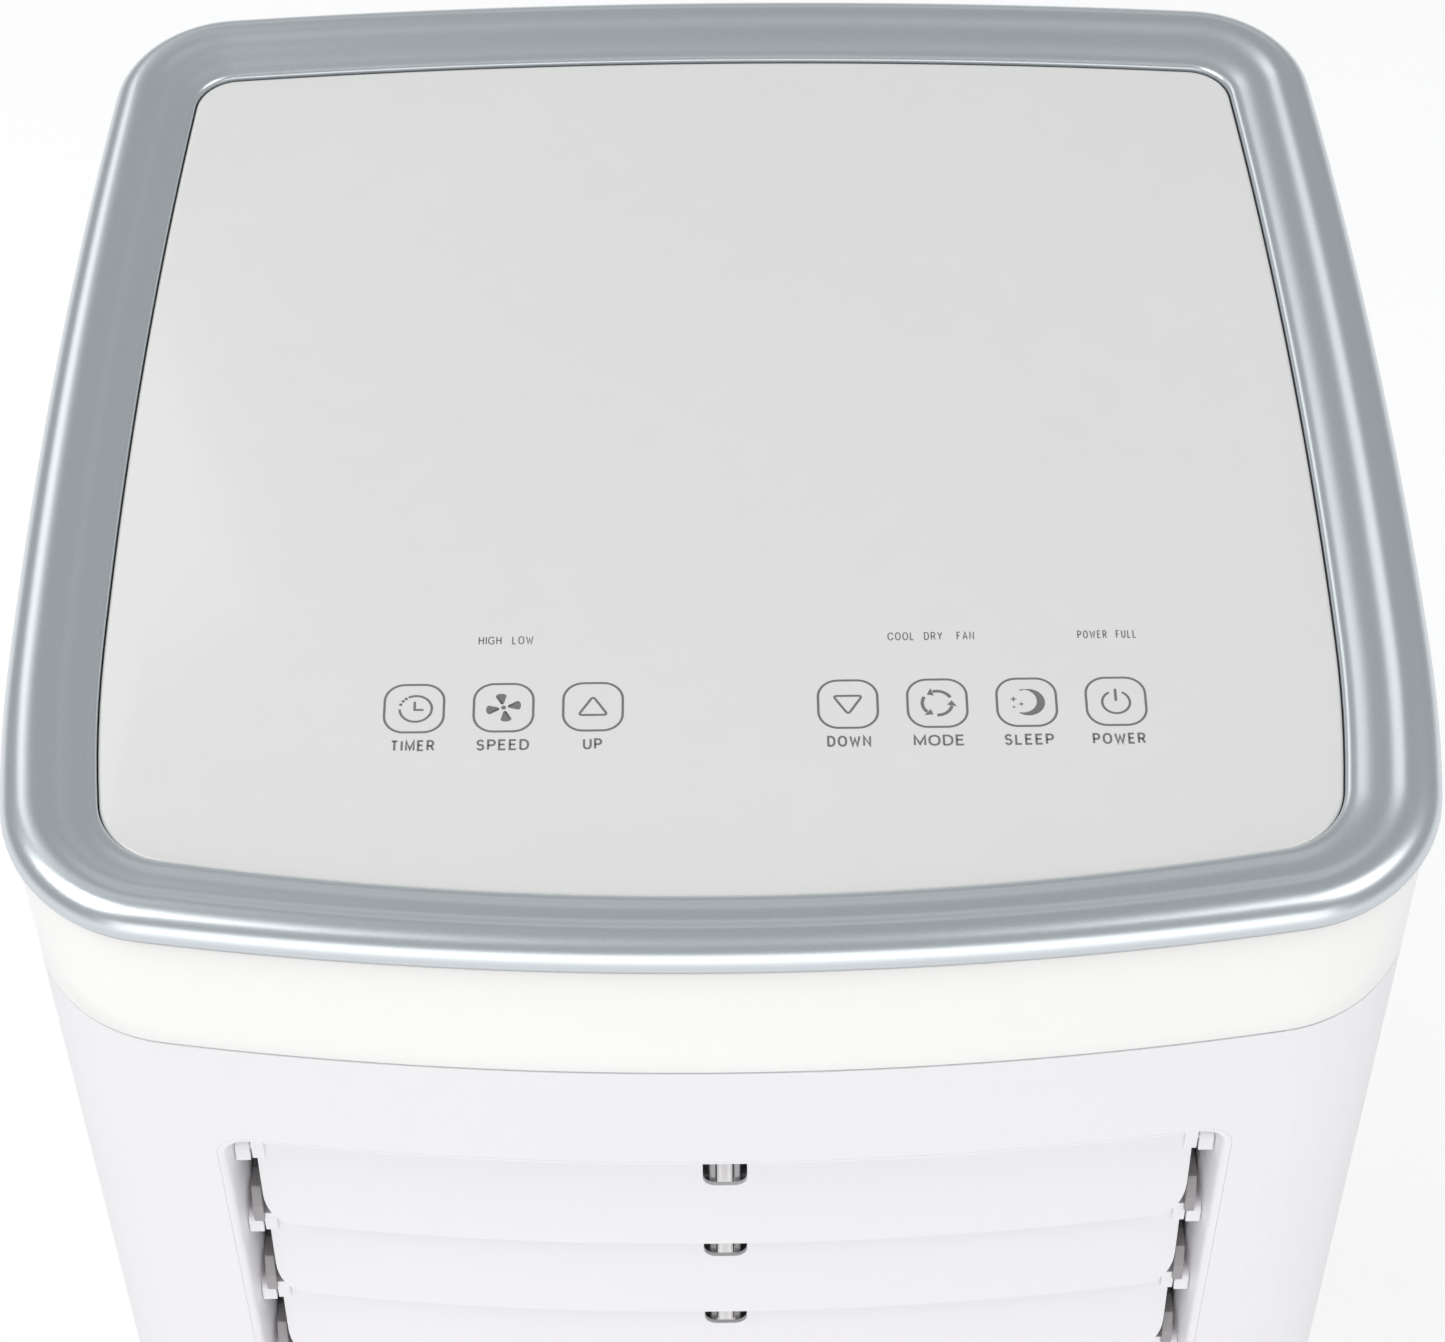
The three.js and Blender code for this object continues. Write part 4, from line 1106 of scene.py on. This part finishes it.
def make_outlet_frame():
    half, z0, z1, r = FRAME_HIGH.x + 0.26, FRAME_LOW.z - 0.26, FRAME_HIGH.z + 0.26, OUTLET_CORNER - 0.04
    roll = ((0, 0.12), (0.15, 0.02), (0.7, 0.08), (1.2, 0.3), (1.65, 0.7), (2.0, 1.3), (2.25, 2.1))
    rings = [mouth_ring(half - d, z0 + d, z1 - d, r - 0.5 * d, sink=sink) for d, sink in roll]
    throat = mouth_ring(FRAME_SIDE, FRAME_FLOOR, FRAME_CEILING, 4, y=MOUTH_Y)
    inner = rings[-1]
    rings += [blend_rings(inner, throat, t) for t in (0.25, 0.5, 0.75, 0.93)]
    rings.append(throat)
    inside = (FRAME_SIDE, FRAME_FLOOR, FRAME_CEILING, 4)
    outside = (FRAME_SIDE + 2.2, FRAME_FLOOR - 2, FRAME_CEILING + 2.3, 5)
    rings += [mouth_ring(*inside, y=y) for y in (-125.5, FRAME_HIGH.y)]
    rings += [mouth_ring(*outside, y=y) for y in (FRAME_HIGH.y, -123.0)]
    rings.append(mouth_ring(half, z0, z1, r, y=-126.0))
    parts = [loft(rings, wrap=True)]
    bracket = [(-2.6, -3.9), (3.9, -3.9), (3.9, 3.4), (1.2, 3.4), (-0.4, 3.1), (-1.8, 2.2), (-2.6, 0.8)]
    for k in BLADES:
        for side in (-1, 1):
            parts.append(upright_plate(blade_pivot(k), bracket, *side_span(side, 111.45, 114.8)))
    obj = mesh_object("outlet_surround", *join_parts(parts))
    tidy(obj, 45)
    soften(obj, 0.12, 2)
    finish_piece(obj, "cabinet", "shell_white", ["outlet_frame"])


def make_guard():
    """Upright ribs and thin cross bars behind the louver, and a fin beside each end of each blade."""
    y0, y1, z0, z1 = GUARD_LOW.y, GUARD_HIGH.y, GUARD_LOW.z, GUARD_HIGH.z
    parts = [brick(-4, 4, y0, y1, z0, z1)]
    for k in range(1, 6):
        for side in (-1, 1):
            x = side * k * 21.4
            parts.append(brick(x - 0.9, x + 0.9, y0, y1, z0, z1))
    rows = 12
    for k in range(rows + 1):
        z = z0 + (z1 - z0 - 1.6) * k / rows
        parts.append(brick(GUARD_LOW.x, GUARD_HIGH.x, y0 + 1.5, y1 - 0.5, z, z + 1.6))
    obj = mesh_object("outlet_ribs", *join_parts(parts))
    soften(obj, 0.3, 2)
    finish_piece(obj, "cabinet", "guard_grey", ["outlet_guard"])
    fins = []
    outline = [(-3, -32), (15, -32), (15, -23), (5, -20), (0, -20.5), (-2.5, -26)]
    for k in BLADES:
        for x in (-111.9, 111.9):
            fins.append(upright_plate(blade_pivot(k), outline, x - 1.4, x + 1.1))
    obj = mesh_object("outlet_side_fins", *join_parts(fins))
    soften(obj, 0.3, 2)
    finish_piece(obj, "cabinet", "guard_grey")


BLADE_ARC_R = 830.0
BLADE_FRONT = -7.2
BLADE_SLANT = 0.0983
BLADE_TOP = 4.0
BLADE_BOTTOM = -31.6
BLADE_HALF = 110.2
BLADE_THICK = 1.1
NOTCH_HALF = 5.2
NOTCH_DEPTH = 11.5
NOTCH_R = 3.0
BLADE_CORNER = (6.0, 12.0)        # across and up


def blade_point(x, z, pivot):
    bow = BLADE_ARC_R - math.sqrt(BLADE_ARC_R ** 2 - x ** 2)
    belly = 0.9 * (1 - ((z - (BLADE_TOP + BLADE_BOTTOM) / 2) / 17.8) ** 2)
    y = BLADE_FRONT + bow + BLADE_SLANT * (z - BLADE_TOP) - 0.5 * belly
    return (x, pivot.y + y, pivot.z + z)


def blade_columns():
    """x stations across the blade, closer at the corners and the notch."""
    corner = [BLADE_HALF - BLADE_CORNER[0] * (1 - math.sin(math.radians(a))) for a in range(0, 91, 10)]
    notch = [NOTCH_HALF - NOTCH_R * (1 - math.sin(math.radians(a))) for a in range(0, 91, 18)]
    middle = [NOTCH_HALF + (BLADE_HALF - BLADE_CORNER[0] - NOTCH_HALF) * i / 22 for i in range(23)]
    right = sorted(set(round(v, 4) for v in [0.0] + notch + middle + corner))
    return [-v for v in reversed(right[1:])] + right


def blade_bottom(x):
    across, up = BLADE_CORNER
    over = (abs(x) - BLADE_HALF + across) / across
    return BLADE_BOTTOM if over <= 0 else BLADE_BOTTOM + up * (1 - math.sqrt(max(1 - over ** 2, 0)))


def notch_floor(x):
    over = abs(x) - (NOTCH_HALF - NOTCH_R)
    rise = 0 if over <= 0 else NOTCH_R - math.sqrt(max(NOTCH_R ** 2 - over ** 2, 0))
    return BLADE_TOP - NOTCH_DEPTH + min(rise, NOTCH_R)


def blade_sheet(pivot):
    columns = blade_columns()
    points, faces, known = [], [], {}

    def vertex(x, z):
        key = (round(x, 3), round(z, 3))
        if key not in known:
            known[key] = len(points)
            points.append(blade_point(x, z, pivot))
        return known[key]

    def strip(a, b, lower, upper, count):
        """Faces between the stations a and b, from the lower curve up to the upper one."""
        rows_a, rows_b = (
            [lower(x) + (upper(x) - lower(x)) * i / count for i in range(count + 1)] for x in (a, b)
        )
        for i in range(count):
            corners = ((a, rows_a[i]), (b, rows_b[i]), (b, rows_b[i + 1]), (a, rows_a[i + 1]))
            faces.append(tuple(vertex(x, z) for x, z in corners))

    for a, b in zip(columns, columns[1:]):
        strip(a, b, blade_bottom, notch_floor, 8)
        if abs(a + b) / 2 > NOTCH_HALF:
            strip(a, b, notch_floor, lambda x: BLADE_TOP, 3)
    return points, faces


def capsule_ear(pivot, x0, x1):
    """A link ear on the back of the blade."""
    tip = arc(9, -6, 3, -70, 110, 10)
    outline = [(-7.0, -13.4), (5.5, -11.2)] + tip + [(2.0, -3.6), (-6.2, -8.0)]
    return upright_plate(pivot, outline, x0, x1)


def make_blade(k):
    """A blade with its end lugs, its pivot pins, and the two ears and the pin of the link."""
    pivot = blade_pivot(k)
    obj = mesh_object(f"louver_slat_{k}", *blade_sheet(pivot))
    soften(obj, 0.3, 3, BLADE_THICK)
    lug = [(-1.9, -4.2), (2.6, -4.2), (2.6, 2.4), (1.8, 3.3), (0.8, 3.6), (-1.9, 3.6)]
    extras = []
    for side in (-1, 1):
        extras.append(upright_plate(pivot, lug, *side_span(side, 108.1, 111.1)))
        low, high = side_span(side, 110.6, 113.4)
        pin = [(0, low), (1.3, low), (1.5, low + 0.2), (1.5, high - 0.2), (1.3, high), (0, high)]
        extras.append(lathe(pin, 20, "x", (0, pivot.y, pivot.z)))
        extras.append(capsule_ear(pivot, *side_span(side, 2.25, 3.55)))
    extras.append(lathe([(0, -2.9), (1, -2.9), (1, 2.9), (0, 2.9)], 16, "x", (0, pivot.y + 9, pivot.z - 6)))
    fittings = mesh_object(f"louver_slat_{k}_fittings", *join_parts(extras))
    tidy(fittings, 40)
    soften(fittings, 0.2, 2)
    merge_meshes(obj, fittings)
    finish_piece(obj, f"blade_{k}", "blade_white", [f"louver_blade_{k}"])


def merge_meshes(target, extra):
    """Adds the extra object's mesh to the target and drops the extra object."""
    work = bmesh.new()
    work.from_mesh(target.data)
    work.from_mesh(extra.data)
    work.to_mesh(target.data)
    work.free()
    bpy.data.objects.remove(extra)


def make_link():
    """An upright bar with a rib down each edge, pinned to every blade."""
    half, y0, y1 = (LINK_HIGH.x - LINK_LOW.x) / 2, LINK_LOW.y, LINK_HIGH.y
    rib, floor = half - 0.55, y0 + 0.7
    outline = [(-half, y1), (-half, y0), (-half + 0.55, y0), (-half + 0.55, floor), (rib, floor), (rib, y0),
               (half, y0), (half, y1)]
    obj = mesh_object("louver_tie_bar", *slab(outline, lambda u, v, w: (u, v, w), LINK_LOW.z, LINK_HIGH.z))
    tidy(obj, 35)
    soften(obj, 0.12, 2)
    # The tie bar takes the finish with a painted glow.
    finish_piece(obj, "link", "blade_white", ["louver_link"], material="tie_white_glow")


# ------------------------------------------------------------------ back of the unit
def slatted_cover(name, low, high, slats, body, replaces, mullions):
    """A framed grille that follows the back, with sloping slats between its mullions."""
    edge = back_s(high.x)
    inner = edge - 8
    patch = (-edge + 1.5, edge - 1.5, low.z + 1.5, high.z - 1.5)
    hole = (patch, (-inner, inner, low.z + 8, high.z - 8), 3.5)
    points, faces = wall_sheet(back_place, -edge, edge, low.z, high.z, [hole])
    obj = mesh_object(name, points, [tuple(reversed(face)) for face in faces])
    soften(obj, 0.4, 2, WALL)
    parts = []
    pitch = (high.z - low.z - 16) / slats
    stations = [-inner - 2 + (2 * inner + 4) * i / 60 for i in range(61)]
    section = ((0.35, 2.6), (0.15, 1.9), (0.5, 1.1), (7.4, -3.3), (8.2, -3.5), (8.4, -2.6), (1.3, 2.7))
    for k in range(slats):
        z = low.z + 8 + pitch * (k + 0.5)
        rings = [[back_place(s, z + rise, sink) for sink, rise in section] for s in stations]
        parts.append(loft(rings, cap=(True, True)))
    square = ((-1.4, 0.6), (1.4, 0.6), (1.4, 5), (-1.4, 5))
    for k in range(mullions):
        s = -inner + 2 * inner * (k + 1) / (mullions + 1)
        rings = [[back_place(s + ds, z, sink) for ds, sink in square] for z in (low.z + 7, high.z - 7)]
        parts.append(loft(rings, cap=(True, True)))
    extra = mesh_object(name + "_slats", *join_parts(parts))
    tidy(extra, 40)
    soften(extra, 0, 1)
    merge_meshes(obj, extra)
    finish_piece(obj, body, "shell_white", replaces)


def make_filter():
    """A frame with a woven screen."""
    low, high = box_mm("air_filter")
    border = 4.0
    thickness = (low.y, high.y)
    opening = (low.z + border, high.z - border)
    parts = [
        brick(low.x, high.x, *thickness, low.z, low.z + border),
        brick(low.x, high.x, *thickness, high.z - border, high.z),
        brick(low.x, low.x + border, *thickness, *opening),
        brick(high.x - border, high.x, *thickness, *opening),
    ]
    for k in range(1, 4):
        x = low.x + (high.x - low.x) * k / 4
        parts.append(brick(x - 1.5, x + 1.5, *thickness, *opening))
    middle = (low.y + high.y) / 2
    thread, gap = 0.42, 1.9
    for k in range(int((high.x - low.x - 2 * border) / gap)):
        x = low.x + border + gap * (k + 0.5)
        parts.append(brick(x, x + thread, middle - 0.2, middle + 0.2, *opening))
    for k in range(int((high.z - low.z - 2 * border) / gap)):
        z = low.z + border + gap * (k + 0.5)
        parts.append(brick(low.x + border, high.x - border, middle - 0.2, middle + 0.2, z, z + thread))
    obj = mesh_object("filter_screen", *join_parts(parts))
    finish_piece(obj, "filter_door", "filter_grey", ["air_filter"])


def make_collar():
    """The socket for the exhaust hose, with a rounded flange and bayonet lugs."""
    y0, y1 = COLLAR_LOW.y, COLLAR_HIGH.y
    profile = [(BORE_R, y0 + 0.5), (BORE_R, y1 - 1.6), (BORE_R + 0.5, y1 - 0.5), (BORE_R + 1.6, y1),
               (FLANGE_R - 0.8, y1), (FLANGE_R - 0.2, y1 - 0.3), (FLANGE_R, y1 - 0.9), (FLANGE_R, y1 - 1.4),
               (FLANGE_R - 5.8, y1 - 1.6), (BORE_R + 2.2, y1 - 2.2), (BORE_R + 2.2, y0), (BORE_R + 0.5, y0)]
    parts = [lathe(profile, 96, "y", (0, 0, EXHAUST_Z))]
    lug_faces = [(0, 1, 3, 2), (4, 6, 7, 5), (0, 4, 5, 1), (2, 3, 7, 6), (0, 2, 6, 4), (1, 5, 7, 3)]
    for turn in (45, 135, 225, 315):
        lug = []
        for y in (y0 + 14, y0 + 18):
            for r in (BORE_R - 3.0, BORE_R + 0.6):
                for a in (turn - 7, turn + 7):
                    x, z = polar(0, EXHAUST_Z, r, a)
                    lug.append((x, y, z))
        parts.append((lug, lug_faces))
    obj = mesh_object("exhaust_socket", *join_parts(parts))
    tidy(obj, 45)
    finish_piece(obj, "cabinet", "shell_white", ["exhaust_collar"])


def make_plug(node, name, body):
    """A drain plug: dished head with a grip bar, and a ribbed stem."""
    x, z, low, high = port_centre(node)
    r, y = (high.x - low.x) / 2, high.y
    profile = [(0, y - 0.5), (3.0, y - 0.5), (3.4, y - 0.1), (4.2, y), (r - 1.0, y), (r - 0.25, y - 0.3),
               (r, y - 0.9), (r, y - 1.6), (6.6, y - 1.6), (6.3, y - 4), (6.6, y - 4.8), (6.3, y - 5.6),
               (6.6, y - 8), (6.2, low.y + 1), (5.4, low.y), (0, low.y)]
    parts = [lathe(profile, 48, "y", (x, 0, z))]
    parts.append(brick(x - 3.6, x + 3.6, y - 0.9, y - 0.02, z - 0.6, z + 0.6))
    obj = mesh_object(name, *join_parts(parts))
    tidy(obj, 45)
    finish_piece(obj, body, "rubber_grey", [node])


def make_gland():
    x, z, low, high = port_centre("cord_gland")
    r, y = (high.x - low.x) / 2, high.y
    profile = [(4.0, low.y), (4.0, y - 0.8), (4.5, y - 0.1), (5.4, y), (r - 1.2, y), (r - 0.3, y - 0.4),
               (r, y - 1.1), (r, y - 1.6), (6.6, y - 1.6), (6.5, low.y + 0.6), (5.9, low.y)]
    obj = mesh_object("cord_bush", *lathe(profile, 48, "y", (x, 0, z)))
    tidy(obj, 45)
    finish_piece(obj, "cabinet", "dark_plastic", ["cord_gland"])


def make_grip(side, node, name):
    """A hand recess: rounded mouth, sloping back and a lip to pull on."""
    low, high = box_mm(node)
    y_mid, z_mid = (low.y + high.y) / 2, (low.z + high.z) / 2
    # Shrink from the CAD outline, depth under the wall and corner radius, from the back of the cup
    # round its mouth to its floor.
    steps = ((2.0, 25.2, 7.2), (0.1, 25.0, 9), (0.1, 0.45, 9), (0.4, 0.2, 8.8), (0.9, 0.15, 8.5),
             (1.7, 0.5, 8), (2.1, 1.4, 7.6), (2.3, 18, 7.4), (3.4, 21.5, 6.5), (6.5, 22.6, 4))
    rings = []
    for shrink, depth, radius in steps:
        half_y, half_z = (high.y - low.y) / 2 - shrink, (high.z - low.z) / 2 - shrink
        mouth = rounded_loop(y_mid - half_y, y_mid + half_y, z_mid - half_z, z_mid + half_z, radius,
                             (30, 14, 30, 14))
        rings.append([(side * (BODY.at(BODY.at_y(y), z)[0] - depth), y, z) for y, z in mouth])
    obj = mesh_object(name, *loft(rings, cap=(True, True)))
    tidy(obj, 45)
    finish_piece(obj, "cabinet", "shell_white", [node])


def make_screws():
    """Cross-head screws that hold the rear housing; their crosses are dark bricks, painted shade for the
    cross recess.
    """
    heads, slots = [], []
    for x, z in [(x, z) for x in (-118, 118) for z in (66, 222, 352, 574)]:
        y = back_place(signed_back_s(x), z)[1]
        profile = [(0, y + 0.2), (1.2, y + 0.2), (3.0, y - 0.1), (3.6, y - 0.9), (0, y - 0.9)]
        heads.append(lathe(profile, 28, "y", (x, 0, z)))
        slots += [brick(x - 1.7, x + 1.7, y + 0.1, y + 0.24, z - 0.3, z + 0.3),
                  brick(x - 0.3, x + 0.3, y + 0.1, y + 0.24, z - 1.7, z + 1.7)]
    obj = mesh_object("case_screws", *join_parts(heads))
    tidy(obj, 50)
    finish_piece(obj, "cabinet", "steel")
    # Painted shade: dark crosses stand for the shade inside the recess of each head.
    obj = mesh_object("case_screw_cross_shade", *join_parts(slots))
    finish_piece(obj, "cabinet", "steel", material="dark_plastic")


def make_wheel(k):
    low, high = box_mm(f"caster_wheel_{k}")
    centre = (low + high) / 2
    r, half = (high.z - low.z) / 2, (high.x - low.x) / 2
    profile = [(2.4, -half), (4.2, -half), (4.6, -half + 1.2), (9.6, -half + 1.6), (10.4, -half + 0.3),
               (12.6, -half + 0.1), (13.8, -half + 0.6), (14.7, -half + 1.7), (r, -half + 3)]
    profile += [(radius, -h) for radius, h in reversed(profile)]
    obj = mesh_object(f"caster_tyre_{k}", *lathe(profile, 64, "x", centre))
    tidy(obj, 40)
    finish_piece(obj, f"wheel_{k}", "wheel_black", [f"caster_wheel_{k}"])


def make_coil(node, name):
    """A stack of thin fins between end plates, with the return bends of its tubes outside them."""
    low, high = box_mm(node)
    reach = high.x - 7
    parts = [brick(x, x + 1.5, low.y, high.y, low.z, high.z) for x in (-reach - 2, reach + 0.5)]
    fin_pitch, tube_pitch, tube_r = 1.9, 24, 1.8
    for k in range(int(2 * reach / fin_pitch)):
        x = -reach + fin_pitch * k
        parts.append(brick(x, x + 0.35, low.y + 1, high.y - 1, low.z + 2, high.z - 2))
    middle = (low.y + high.y) / 2
    for k in range(int((high.z - low.z) // tube_pitch)):
        z = low.z + 14 + tube_pitch * k
        for side in (-1, 1):
            rings = []
            for i in range(13):
                a = math.radians(15 * i)
                centre_x = side * (reach + 1 + 6 * math.sin(a) * 0.8)
                centre_z = z + 4.2 * math.cos(a)
                ring = []
                for j in range(12):
                    b = 2 * math.pi * j / 12
                    ring.append((centre_x + side * tube_r * math.cos(b) * math.sin(a),
                                 middle + tube_r * math.sin(b),
                                 centre_z + tube_r * math.cos(b) * math.cos(a)))
                rings.append(ring)
            parts.append(loft(rings, cap=(True, True)))
    obj = mesh_object(name, *join_parts(parts))
    finish_piece(obj, "cabinet", "fin_aluminium", [node], material="fin_bright")


def refine_cad_nodes():
    """CAD pieces that keep their own shape get their finish and slightly rounded edges."""
    slots = {row["node"]: row["material_slot"] for row in frame["record"]["subparts"]}
    for name, node in frame["nodes"].items():
        if node.hide_render:
            continue
        node.data.materials.clear()
        node.data.materials.append(MATERIALS[slots[name]])
        edges = node.modifiers.new("edges", "BEVEL")
        edges.width = 0.35 * MM
        edges.segments = 2
        edges.limit_method = "ANGLE"
        edges.angle_limit = math.radians(40)
        normals = node.modifiers.new("normals", "WEIGHTED_NORMAL")
        normals.keep_sharp = True


# ------------------------------------------------------------------ assembly
make_camera()
make_studio()
make_floor()
make_rim()
make_panel()
make_cover()
make_legends()
make_front_shell()
make_rear_shell()
make_base()
make_outlet_frame()
make_guard()
for number in BLADES:
    make_blade(number)
make_link()
slatted_cover("filter_grille", UPPER_LOW, UPPER_HIGH, 12, "filter_door", ["filter_cover"], 3)
slatted_cover("condenser_louver", LOWER_LOW, LOWER_HIGH, 9, "cabinet", ["condenser_grille"], 3)
make_filter()
make_collar()
make_plug("upper_drain_cap", "upper_drain_plug", "upper_cap")
make_plug("lower_drain_cap", "lower_drain_plug", "lower_cap")
make_gland()
make_grip(-1, "handle_cup_left", "left_grip")
make_grip(1, "handle_cup_right", "right_grip")
make_screws()
for number in range(1, 5):
    make_wheel(number)
make_coil("condenser_coil", "condenser_fins")
make_coil("evaporator_coil", "evaporator_fins")
refine_cad_nodes()
